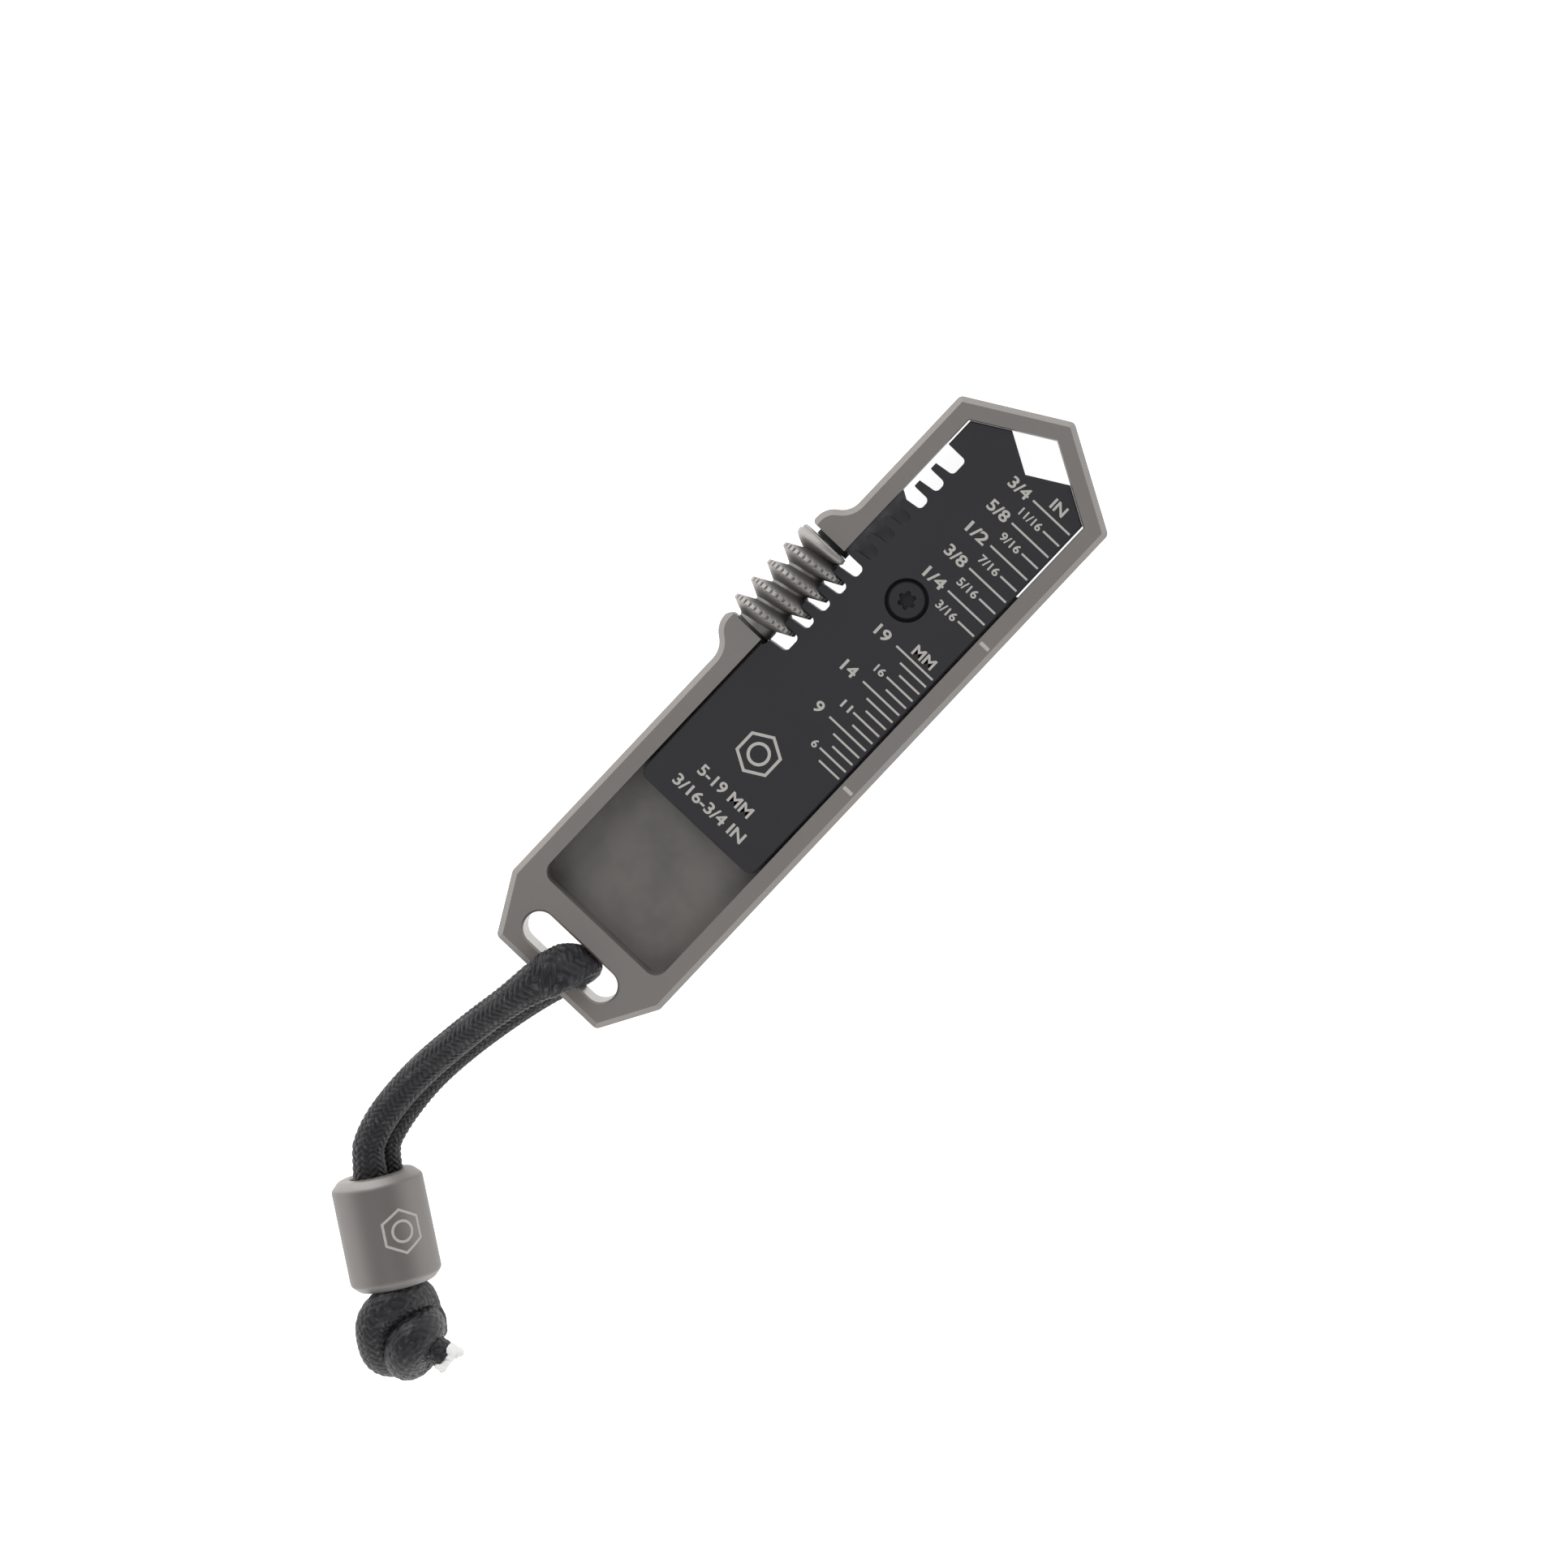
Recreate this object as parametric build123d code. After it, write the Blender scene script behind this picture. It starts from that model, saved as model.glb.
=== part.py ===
from build123d import *
import os
from math import ceil, cos, pi, radians, sin, tan

# A flat pocket wrench: a milled frame whose head is half of a hexagon, a jaw plate that slides
# in the frame's pocket, and a knurled worm that drives the plate's rack. A cord through the
# frame's lanyard slot carries a bead and ends in a knot.
# Millimetres. The origin is the centre of the lanyard slot at half thickness, +Y runs to the
# head, +Z out of the face with the scales.

# Frame
BODY_LENGTH = 91.4  # lanyard end to the point of the head
BODY_WIDTH = 24.1
BODY_THICKNESS = 6.0
SIDE_WALL = 2.65
HEAD_WALL = 2.5  # square to the wall
FLOOR = 1.8  # pocket floor
EDGE_CHAMFER = 0.7
OUTER_CORNER = 0.8  # radius of the corners seen from above
END_WIDTH = 16.2  # straight part of the lanyard end
END_CUT = 6.95  # how far the cut corners run up the sides
POCKET_START = 9.2  # lanyard end to the pocket
POCKET_CORNER = 1.6

# Lanyard slot
SLOT_FROM_END = 4.25
SLOT_LENGTH = 13.95
SLOT_WIDTH = 3.95
SLOT_CHAMFER = 0.25

# Jaw, across flats
JAW_SMALLEST = 25.4 * 3 / 16
JAW_LARGEST = 25.4 * 3 / 4
JAW_SLOPE = 30.0  # each flank to the line across the jaw
JAW_CLEARANCE = 0.1  # the opening is larger than the nut it is marked for
CLOSED_GAP = 0.15  # between the plate's shoulders and the head when shut

# Jaw plate
SIDE_GAP = 0.3
SLIDE_GAP = 0.1  # above and below a sliding face
STOP_GAP = 0.1  # plate to pocket end, fully open
PLATE_BELOW_FACE = 0.2
PLATE_CORNER = 1.3
PLATE_EDGE = 0.15  # break on the upper edges
RACK_RECESS = 0.45  # tooth tips back from the plate's side
RACK_SLOT = 1.85  # slot width at the mouth
RACK_SLOT_TAPER = 0.35
RACK_SLOT_CORNER = 0.6
RACK_END_ROOM = 0.8  # extra width of the first and last slot
RACK_LEAD = 0.2  # rack's lower end above the worm's lower end

# Worm
WORM_PITCH = 2.8
WORM_LENGTH = 13.2
WORM_CREST_RADIUS = 4.25
WORM_ROOT_RADIUS = 2.25
WORM_CREST_FLAT = 0.5
WORM_FLANK = 26.0  # each flank to a plane square to the axis
WORM_FROM_END = 54.25  # lanyard end to the middle of the worm
ROOT_GAP = 0.1  # worm root to tooth tips
CREST_GAP = 0.55  # worm crest to slot bottoms
MESH_GAP = 0.1  # thread to rack
MESH_OFFSET = 0.2  # thread below the slot's upper edge, on the rack's side
END_PLAY = 0.1  # each end of the worm
WORM_EDGE = 0.35  # break on the worm's flat end
WORM_COLLAR = 0.25  # plain length at the worm's lower end
WORM_RUN_OUT = 0.7  # where the ridge grows to full size past the collar
THREAD_SUNK = 0.1  # ridge into the core
SEAM_TURN = 200.0  # degrees that the seams of round pieces lie away from the thread's start
GROOVE_SUNK = 0.8  # the same for the rack's grooves, past the plate's side
GROOVE_REACH = (-70.0, 50.0)  # degrees of the ridge that the rack's grooves take in

# Worm's axle and washers
PIN_RADIUS = 1.05
PIN_GAP = 0.05
PIN_IN_EAR = 2.2
PIN_IN_WORM = 3.4
PIN_NOSE = 0.25
FRICTION_RING = 0.65
THRUST_WASHER = 0.3
WASHER_RADIUS = 2.3
SPRING_WIRE = 0.3
SPRING_DIAMETER = 1.7
SPRING_TURNS = 6

# Ears at the worm window
EAR_STAND = 2.5  # proud of the frame's side
UPPER_EAR = 5.4  # window to where the ear runs out
LOWER_EAR = 5.6
EAR_STRAIGHT = 0.8
UPPER_EAR_CORNER = 0.5
LOWER_EAR_CORNER = 0.9
FLOOR_CUT_CORNER = 0.6

# Screw and guide nut
SCREW_FROM_JAW = 20.45  # below the plate's notch
SCREW_RADIUS = 1.25
SCREW_HEAD_RADIUS = 2.3
SCREW_HEAD = 1.5
SCREW_BELOW_FACE = 0.2
SEAT_RADIUS = 2.65
SCREW_HOLE_GAP = 0.1
THREAD_GAP = 0.02
LOBE_DEPTH = 0.9
LOBE_RADIUS = 0.85  # centres of the six lobes
LOBE_SIZE = 0.3
NUT_BOSS_RADIUS = 1.95
NUT_FLANGE = 6.0
NUT_FLANGE_CORNER = 1.2
NUT_FLANGE_THICKNESS = 0.65
NUT_SIDE_GAP = 0.2
TRACK_DEPTH = 0.9

# Cord, bead and knot
CORD = 3.6
LEG_SPACING = 3.7
LEG_TWIST = 19.0  # degrees the pair of legs leans out of the vertical in the bead
BEAD_DIAMETER = 11.1
BEAD_LENGTH = 13.6
BEAD_BORE = 8.0
BEAD_CHAMFER = 1.0
BORE_CHAMFER = 0.4
BEAD_CENTRE = Vector(6.39, -40.15, -3.6)
BEAD_HEADING = -35.0  # degrees from +X of the way from the bead to the knot
KNOT_GAP = 0.2
KNOT_LENGTH = 11.5
KNOT_WIDTH = 11.3
KNOT_NECK = 7.6
KNOT_BELLY = 0.5  # share of its length from the bead to the widest place
KNOT_SHIFT = 0.5
KNOT_FULLNESS = 0.7  # the far half is this wide at this share of its length
CORE_LENGTH = 1.5
CORE_RADIUS = 1.3
CORE_TURN = 56.0  # degrees from the bead's heading to the cut end
LEG_STRAIGHT = 2.0  # leg straight above the bead
BEND_SHARE = 0.45  # of the shorter run beside a bend, taken up by the bend
SLOT_CENTRE_OF_CORD = (2.05, 0.03, 0.0)
FRONT_ROUTE = [(1.6, 0.0, 3.5), (0.7, -2.6, 6.1), (-1.0, -6.3, 5.4), (-2.1, -11.3, 3.2),
               (-2.9, -16.9, 0.9), (-3.5, -22.6, -0.9), (-3.45, -27.9, -1.7), (-2.75, -32.2, -1.9)]
BACK_ROUTE = [(2.5, 0.06, -3.5), (1.85, -2.7, -5.6), (0.3, -7.4, -5.5), (-1.0, -13.1, -5.7),
              (-2.0, -19.2, -5.8), (-2.4, -25.1, -5.8), (-2.0, -30.1, -5.6)]

PAST = 1.0  # how far a cut runs past the face it cuts

# Places that follow from the sizes
SLOPE = tan(radians(JAW_SLOPE))
LEAN = cos(radians(JAW_SLOPE))
TOP = BODY_THICKNESS / 2
END = -SLOT_FROM_END
TIP = END + BODY_LENGTH
SIDE = BODY_WIDTH / 2
POCKET_SIDE = SIDE - SIDE_WALL
POCKET_END = END + POCKET_START
FLOOR_TOP = -TOP + FLOOR
TRACK_TOP = -TOP + TRACK_DEPTH
HEAD_VERTEX = TIP - HEAD_WALL / LEAN
TRAVEL = (JAW_LARGEST - JAW_SMALLEST) / LEAN
NOTCH = HEAD_VERTEX - (JAW_SMALLEST + JAW_CLEARANCE) / LEAN
FLOOR_VERTEX = NOTCH - TRAVEL - STOP_GAP
PLATE_SIDE = POCKET_SIDE - SIDE_GAP
PLATE_BOTTOM = FLOOR_TOP + SLIDE_GAP
PLATE_TOP = TOP - PLATE_BELOW_FACE
PLATE_END = POCKET_END + TRAVEL + STOP_GAP
RACK_TIP = -PLATE_SIDE + RACK_RECESS
WORM_X = RACK_TIP - ROOT_GAP - WORM_ROOT_RADIUS
RACK_ROOT = WORM_X + WORM_CREST_RADIUS + CREST_GAP
WORM_LOW = END + WORM_FROM_END - WORM_LENGTH / 2
WORM_HIGH = WORM_LOW + WORM_LENGTH
WINDOW_LOW = WORM_LOW - END_PLAY - THRUST_WASHER
WINDOW_HIGH = WORM_HIGH + END_PLAY + FRICTION_RING
RACK_LOW = WORM_LOW + RACK_LEAD
RACK_SLOTS = ceil((TRAVEL + WORM_LENGTH) / WORM_PITCH)
FIRST_SLOT = RACK_LOW + RACK_END_ROOM
RACK_HIGH = FIRST_SLOT + (RACK_SLOTS - 1) * WORM_PITCH + RACK_SLOT + RACK_END_ROOM
THREAD_START = FIRST_SLOT + RACK_SLOT - MESH_OFFSET
EAR_SIDE = -SIDE - EAR_STAND
SCREW_Y = NOTCH - SCREW_FROM_JAW
SCREW_TOP = PLATE_TOP - SCREW_BELOW_FACE
SEAT = SCREW_TOP - SCREW_HEAD
NUT_TOP = TRACK_TOP - SLIDE_GAP
NUT_BOTTOM = NUT_TOP - NUT_FLANGE_THICKNESS
BEAD_WAY = Vector(cos(radians(BEAD_HEADING)), sin(radians(BEAD_HEADING)), 0)
BEAD_SIDEWAYS = Vector(-sin(radians(BEAD_HEADING)), cos(radians(BEAD_HEADING)), 0)
KNOT_FACE = BEAD_CENTRE + BEAD_WAY * (BEAD_LENGTH / 2 + KNOT_GAP)


def face_of(points):
    return make_face(Polyline(*points, close=True))


def round_corners(face, corners, radius):
    """Rounds the corners of a flat face that lie at the given places."""
    found = [v for v in face.vertices() for x, y in corners if abs(v.X - x) + abs(v.Y - y) < 0.001]
    return fillet(found, radius)


def prism(face, low, high):
    return extrude(Pos(0, 0, low) * face, high - low)


def head_lines(side, vertex, width):
    """Three points of a head outline: its two corners and the vertex between them."""
    corner = vertex - width * SLOPE
    return [(side * width, corner), (0, vertex), (-side * width, corner)]


# ---- frame


def ear(start, finish):
    """Ear seen from above, from the frame's side at start out to its straight part at finish."""
    middle = ((-SIDE + EAR_SIDE) / 2, (start + finish) / 2)
    way = (0, finish - start)
    first = TangentArc((-SIDE, start), middle, tangent=way)
    second = TangentArc(middle, (EAR_SIDE, finish), tangent=first % 1)
    inner = Polyline((EAR_SIDE, finish), (-POCKET_SIDE, finish), (-POCKET_SIDE, start), (-SIDE, start))
    return make_face([first, second, inner])


def body_outline():
    half_end = END_WIDTH / 2
    points = [(half_end, END), (SIDE, END + END_CUT), *head_lines(1, TIP, SIDE),
              (-SIDE, END + END_CUT), (-half_end, END)]
    outline = round_corners(face_of(points), points, OUTER_CORNER)
    low = WINDOW_LOW - EAR_STRAIGHT
    high = WINDOW_HIGH + EAR_STRAIGHT
    bridge = face_of([(EAR_SIDE, low), (-POCKET_SIDE, low), (-POCKET_SIDE, high), (EAR_SIDE, high)])
    lower = ear(WINDOW_LOW - LOWER_EAR, low)
    upper = ear(WINDOW_HIGH + UPPER_EAR, high)
    return outline + bridge + lower + upper


def pocket_outline():
    points = [(POCKET_SIDE, POCKET_END), *head_lines(1, HEAD_VERTEX, POCKET_SIDE),
              (-POCKET_SIDE, POCKET_END)]
    return round_corners(face_of(points), [points[0], points[-1]], POCKET_CORNER)


def notch_edge():
    corner = FLOOR_VERTEX + POCKET_SIDE * SLOPE
    return [(-POCKET_SIDE, corner), (0, FLOOR_VERTEX), (POCKET_SIDE, corner)]


def corner_waste(x, y, across, along, radius):
    """What rounding a corner at (x, y) takes off; across and along point into the material."""
    square = Pos(x + across * radius / 2, y + along * radius / 2) * Rectangle(radius, radius)
    return square - Pos(x + across * radius, y + along * radius) * Circle(radius)


def window():
    outside = EAR_SIDE - PAST
    opening = face_of([(outside, WINDOW_LOW), (-POCKET_SIDE, WINDOW_LOW),
                       (-POCKET_SIDE, WINDOW_HIGH), (outside, WINDOW_HIGH)])
    upper = corner_waste(EAR_SIDE, WINDOW_HIGH, 1, 1, UPPER_EAR_CORNER)
    lower = corner_waste(EAR_SIDE, WINDOW_LOW, 1, -1, LOWER_EAR_CORNER)
    return opening + upper + lower


def floor_cut():
    """Room for the worm through the pocket's floor."""
    inside = RACK_ROOT + NUT_SIDE_GAP
    points = [(-SIDE, WINDOW_LOW), (inside, WINDOW_LOW), (inside, WINDOW_HIGH), (-SIDE, WINDOW_HIGH)]
    return round_corners(face_of(points), points[1:3], FLOOR_CUT_CORNER)


def track():
    """Slot in the floor for the guide nut's boss, and a wider recess behind it for the flange."""
    radius = NUT_BOSS_RADIUS + NUT_SIDE_GAP
    width = NUT_FLANGE + 2 * NUT_SIDE_GAP
    middle = SCREW_Y - TRAVEL / 2
    slot = Pos(0, middle) * SlotCenterToCenter(TRAVEL, 2 * radius, rotation=90)
    recess = Pos(0, middle) * RectangleRounded(width, TRAVEL + width, NUT_FLANGE_CORNER + NUT_SIDE_GAP)
    return prism(slot, -TOP - PAST, FLOOR_TOP + PAST) + prism(recess, -TOP - PAST, TRACK_TOP)


def ear_bores():
    depth = PIN_IN_EAR + PIN_GAP
    bore = Cylinder(PIN_RADIUS + PIN_GAP, WINDOW_HIGH - WINDOW_LOW + 2 * depth)
    return Pos(WORM_X, (WINDOW_HIGH + WINDOW_LOW) / 2, 0) * Rot(X=90) * bore


def frame_body():
    blank = prism(body_outline(), -TOP, TOP)
    rims = blank.edges().group_by(Axis.Z)
    blank = chamfer(rims[0] + rims[-1], EDGE_CHAMFER)
    opening = make_face(Polyline(*head_lines(1, HEAD_VERTEX, POCKET_SIDE), *notch_edge(), close=True))
    blank -= prism(pocket_outline(), FLOOR_TOP, TOP + PAST)
    blank -= prism(opening, -TOP - PAST, TOP + PAST)
    blank -= prism(window(), -TOP - PAST, TOP + PAST)
    blank -= prism(floor_cut(), -TOP - PAST, TOP)
    blank -= track()
    blank -= ear_bores()
    blank -= prism(SlotOverall(SLOT_LENGTH, SLOT_WIDTH), -TOP - PAST, TOP + PAST)
    lips = [e for e in blank.edges() if abs(abs(e.center().Z) - TOP) < 0.001
            and abs(e.center().Y) < SLOT_WIDTH / 2 + 0.001 and abs(e.center().X) < SLOT_LENGTH / 2]
    return chamfer(lips, SLOT_CHAMFER)


# ---- worm and its axle


def thread(first_degree, last_degree, sunk, gap=0.0):
    """The worm's ridge, right-handed about +Y, wound from one angle to the other.

    Angle 0 is the rack's side, where the crest is at THREAD_START. A gap makes it fatter.
    """
    start = first_degree / 360 * WORM_PITCH
    crest = WORM_CREST_RADIUS + gap
    root = WORM_ROOT_RADIUS - sunk
    flank = tan(radians(WORM_FLANK))
    half_crest = WORM_CREST_FLAT / 2 + gap / cos(radians(WORM_FLANK)) - gap * flank
    half_root = half_crest + (crest - root) * flank
    height = (last_degree - first_degree) / 360 * WORM_PITCH
    path = Helix(pitch=WORM_PITCH, height=height, radius=WORM_CREST_RADIUS)
    corners = [(root, -half_root), (crest, -half_crest), (crest, half_crest), (root, half_root)]
    section = Plane.XZ * face_of(corners)
    ridge = sweep(section, path=path, is_frenet=True)
    upright = Pos(0, 0, start) * Rot(Z=first_degree) * ridge
    return Pos(WORM_X, THREAD_START, 0) * Rot(X=-90) * upright


def on_axle(solid, height):
    """Stands a solid made along +Z on the worm's axis, its foot at a height along the wrench."""
    return Pos(WORM_X, height, 0) * Rot(X=-90) * solid


def disc(radius, thickness):
    return Cylinder(radius, thickness, align=(Align.CENTER, Align.CENTER, Align.MIN))


def worm_envelope():
    """What the ridge is turned down to: a cone above the collar, and a broken edge at the flat end."""
    run_out = WORM_RUN_OUT / (WORM_CREST_RADIUS - WORM_ROOT_RADIUS)
    wide = WORM_CREST_RADIUS + PAST
    points = [(0, WORM_COLLAR - WORM_ROOT_RADIUS * run_out),
              (wide, WORM_COLLAR + (wide - WORM_ROOT_RADIUS) * run_out),
              (wide, WORM_LENGTH - WORM_EDGE - PAST),
              (WORM_CREST_RADIUS - WORM_EDGE, WORM_LENGTH), (0, WORM_LENGTH)]
    return Rot(Z=SEAM_TURN) * revolve(Plane.XZ * face_of(points), Axis.Z)


def worm_screw():
    turns_below = ceil((THREAD_START - WORM_LOW) / WORM_PITCH) + 1
    turns_above = ceil((WORM_HIGH - THREAD_START) / WORM_PITCH) + 1
    ridge = thread(-360 * turns_below, 360 * turns_above, THREAD_SUNK) & on_axle(worm_envelope(), WORM_LOW)
    core = on_axle(Rot(Z=SEAM_TURN) * disc(WORM_ROOT_RADIUS, WORM_LENGTH), WORM_LOW)
    bore = on_axle(disc(PIN_RADIUS + PIN_GAP, WORM_LENGTH), WORM_LOW)
    return core + ridge - bore


def axle_pin(foot, way):
    """A pin from its nose in the ear, at foot, into the worm's bore."""
    reach = END_PLAY + (THRUST_WASHER if way > 0 else FRICTION_RING)
    pin = disc(PIN_RADIUS, PIN_IN_EAR + reach + PIN_IN_WORM)
    pin = chamfer(pin.edges().group_by(Axis.Z)[0], PIN_NOSE)
    return Pos(WORM_X, foot, 0) * Rot(X=-90 * way) * pin


def axle_spring():
    low = WORM_LOW + PIN_IN_WORM
    length = WORM_LENGTH - 2 * PIN_IN_WORM
    radius = (SPRING_DIAMETER - SPRING_WIRE) / 2
    path = Helix(pitch=(length - SPRING_WIRE) / SPRING_TURNS, height=length - SPRING_WIRE, radius=radius)
    wire = sweep(Plane(origin=path @ 0, z_dir=path % 0) * Circle(SPRING_WIRE / 2), path=path, is_frenet=True)
    return on_axle(Pos(0, 0, SPRING_WIRE / 2) * wire, low)


def washer(foot, thickness):
    ring = disc(WASHER_RADIUS, thickness) - disc(PIN_RADIUS + PIN_GAP, thickness)
    return on_axle(ring, foot)


# ---- jaw plate, screw and guide nut


def rack_slot(low, high):
    outside = -POCKET_SIDE - PAST
    points = [(outside, high), (RACK_ROOT, high), (RACK_ROOT, low + RACK_SLOT_TAPER), (RACK_TIP, low),
              (outside, low)]
    return round_corners(face_of(points), points[1:3], RACK_SLOT_CORNER)


def rack_slots():
    slots = []
    for number in range(RACK_SLOTS):
        low = FIRST_SLOT + number * WORM_PITCH
        high = low + RACK_SLOT
        if number == 0:
            low -= RACK_END_ROOM
        if number == RACK_SLOTS - 1:
            high += RACK_END_ROOM
        slots.append(rack_slot(low, high))
    return slots


def plate_outline():
    shoulder = HEAD_VERTEX - CLOSED_GAP / LEAN
    horn = (shoulder - NOTCH) / (2 * SLOPE)
    ends = [(PLATE_SIDE, PLATE_END), (-PLATE_SIDE, PLATE_END)]
    points = [ends[0], (PLATE_SIDE, shoulder - PLATE_SIDE * SLOPE), (horn, shoulder - horn * SLOPE),
              (0, NOTCH), (-horn, shoulder - horn * SLOPE), (-PLATE_SIDE, shoulder - PLATE_SIDE * SLOPE),
              ends[1]]
    return round_corners(face_of(points), ends, PLATE_CORNER)


def rack_outline():
    """What the rack takes off the plate: a step back to the tooth tips, and the slots."""
    outside = -POCKET_SIDE - PAST
    low = WINDOW_LOW - SIDE_GAP
    waste = face_of([(RACK_TIP, low), (RACK_TIP, RACK_HIGH), (outside, RACK_HIGH), (outside, low)])
    for slot in rack_slots():
        waste += slot
    return waste


def jaw_slider():
    plate = prism(plate_outline(), PLATE_BOTTOM, PLATE_TOP)
    plate = chamfer(plate.edges().group_by(Axis.Z)[-1], PLATE_EDGE)
    plate -= prism(rack_outline(), PLATE_BOTTOM - PAST, PLATE_TOP + PAST)
    groove = thread(*GROOVE_REACH, GROOVE_SUNK, MESH_GAP)
    for number in range(RACK_SLOTS):
        plate -= Pos(0, number * WORM_PITCH, 0) * groove
    seat = Pos(0, SCREW_Y, SEAT) * disc(SEAT_RADIUS, PLATE_TOP)
    hole = Pos(0, SCREW_Y, -TOP) * disc(SCREW_RADIUS + SCREW_HOLE_GAP, BODY_THICKNESS)
    return plate - seat - hole


def slider_screw():
    head = Pos(0, 0, SEAT) * disc(SCREW_HEAD_RADIUS, SCREW_HEAD)
    head = chamfer(head.edges().group_by(Axis.Z)[-1], SCREW_BELOW_FACE)
    shank = Pos(0, 0, NUT_BOTTOM) * disc(SCREW_RADIUS, SEAT - NUT_BOTTOM)
    lobes = Circle(LOBE_RADIUS)
    for lobe in PolarLocations(LOBE_RADIUS, 6):
        lobes += lobe * Circle(LOBE_SIZE)
    recess = prism(lobes, SCREW_TOP - LOBE_DEPTH, SCREW_TOP + PAST)
    return Pos(0, SCREW_Y, 0) * (head + shank - recess)


def guide_nut():
    flange = prism(RectangleRounded(NUT_FLANGE, NUT_FLANGE, NUT_FLANGE_CORNER), NUT_BOTTOM, NUT_TOP)
    boss = Pos(0, 0, NUT_TOP) * disc(NUT_BOSS_RADIUS, PLATE_BOTTOM - NUT_TOP)
    hole = Pos(0, 0, -TOP) * disc(SCREW_RADIUS + THREAD_GAP, BODY_THICKNESS)
    return Pos(0, SCREW_Y, 0) * (flange + boss - hole)


# ---- cord, bead and knot


def bead_place(along):
    """A frame on the bead's axis, Z towards the knot, X sideways."""
    return Plane(origin=BEAD_CENTRE + BEAD_WAY * along, x_dir=BEAD_SIDEWAYS, z_dir=BEAD_WAY)


def lanyard_bead():
    place = bead_place(-BEAD_LENGTH / 2)
    bead = chamfer(disc(BEAD_DIAMETER / 2, BEAD_LENGTH).edges().filter_by(GeomType.CIRCLE), BEAD_CHAMFER)
    bead -= disc(BEAD_BORE / 2, BEAD_LENGTH)
    mouths = [e for e in bead.edges().filter_by(GeomType.CIRCLE) if abs(e.radius - BEAD_BORE / 2) < 0.001]
    return place * chamfer(mouths, BORE_CHAMFER)


def leg_offset(side):
    """How far a leg lies from the bead's axis: half the spacing, one leg above the other."""
    turn = radians(LEG_TWIST)
    reach = side * LEG_SPACING / 2
    return BEAD_SIDEWAYS * (-sin(turn) * reach) + Vector(0, 0, cos(turn) * reach)


def cord_leg(route, side):
    """Half of the cord: from the middle of the slot along its route, through the bead to the knot."""
    above_bead = BEAD_CENTRE - BEAD_WAY * (BEAD_LENGTH / 2 + LEG_STRAIGHT) + leg_offset(side)
    points = [Vector(*p) for p in (SLOT_CENTRE_OF_CORD, *route)] + [above_bead, KNOT_FACE + leg_offset(side)]
    runs = [b - a for a, b in zip(points, points[1:])]
    radii = []
    for before, after in zip(runs, runs[1:]):
        half_turn = radians(before.get_angle(after)) / 2
        radii.append(BEND_SHARE * min(before.length, after.length) / tan(half_turn))
    path = FilletPolyline(*points, radius=radii)
    leg = sweep(Plane(origin=path @ 0, z_dir=path % 0) * Circle(CORD / 2), path=path)
    expected = pi * CORD**2 / 4 * path.length
    print("leg length", round(path.length, 2), "radii", [round(r, 1) for r in radii],
          "volume", round(leg.volume, 1), "of", round(expected, 1))
    return leg


def knot_place():
    return Plane(origin=KNOT_FACE - BEAD_SIDEWAYS * KNOT_SHIFT, x_dir=BEAD_SIDEWAYS, z_dir=BEAD_WAY)


def lanyard_knot():
    """The knot's outer shape: a neck at the bead, a full belly and a round end."""
    belly = KNOT_LENGTH * KNOT_BELLY
    wide = KNOT_WIDTH / 2
    neck = KNOT_NECK / 2
    shoulder = (KNOT_FULLNESS * wide, belly + KNOT_FULLNESS * (KNOT_LENGTH - belly))
    near = Spline((neck, 0), (wide, belly), tangents=[(1, 1), (0, 1)])
    far = Spline((wide, belly), shoulder, (0, KNOT_LENGTH), tangents=[(0, 1), (-1, 0)])
    closing = Polyline((0, KNOT_LENGTH), (0, 0), (neck, 0))
    profile = make_face([near, far, closing])
    return knot_place() * revolve(Plane.XZ * profile, Axis.Z)


def cord_core_ends():
    """The white strands that show where the cord is cut, a short tuft on the knot's far end."""
    middle = knot_place().location * Pos(0, 0, KNOT_LENGTH * KNOT_BELLY)
    reach = KNOT_LENGTH * (1 - KNOT_BELLY)
    tuft = Cone(CORE_RADIUS, CORE_RADIUS / 2, CORE_LENGTH + reach / 2,
                align=(Align.CENTER, Align.CENTER, Align.MIN))
    return middle * Rot(Y=CORE_TURN) * Pos(0, 0, reach / 2) * tuft - lanyard_knot()


PARTS = {
    "frame_body": frame_body,
    "jaw_slider": jaw_slider,
    "slider_screw": slider_screw,
    "guide_nut": guide_nut,
    "worm_screw": worm_screw,
    "axle_pin_lower": lambda: axle_pin(WINDOW_LOW - PIN_IN_EAR, 1),
    "axle_pin_upper": lambda: axle_pin(WINDOW_HIGH + PIN_IN_EAR, -1),
    "axle_spring": axle_spring,
    "friction_ring": lambda: washer(WINDOW_HIGH - FRICTION_RING, FRICTION_RING),
    "thrust_washer": lambda: washer(WINDOW_LOW, THRUST_WASHER),
    "cord_front_leg": lambda: cord_leg(FRONT_ROUTE, 1),
    "cord_back_leg": lambda: cord_leg(BACK_ROUTE, -1),
    "lanyard_bead": lanyard_bead,
    "lanyard_knot": lanyard_knot,
    "cord_core_ends": cord_core_ends,
}

os.makedirs("parts", exist_ok=True)
for node, build in PARTS.items():
    export_step(build(), f"parts/{node}.step")
    print("made", node)
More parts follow.
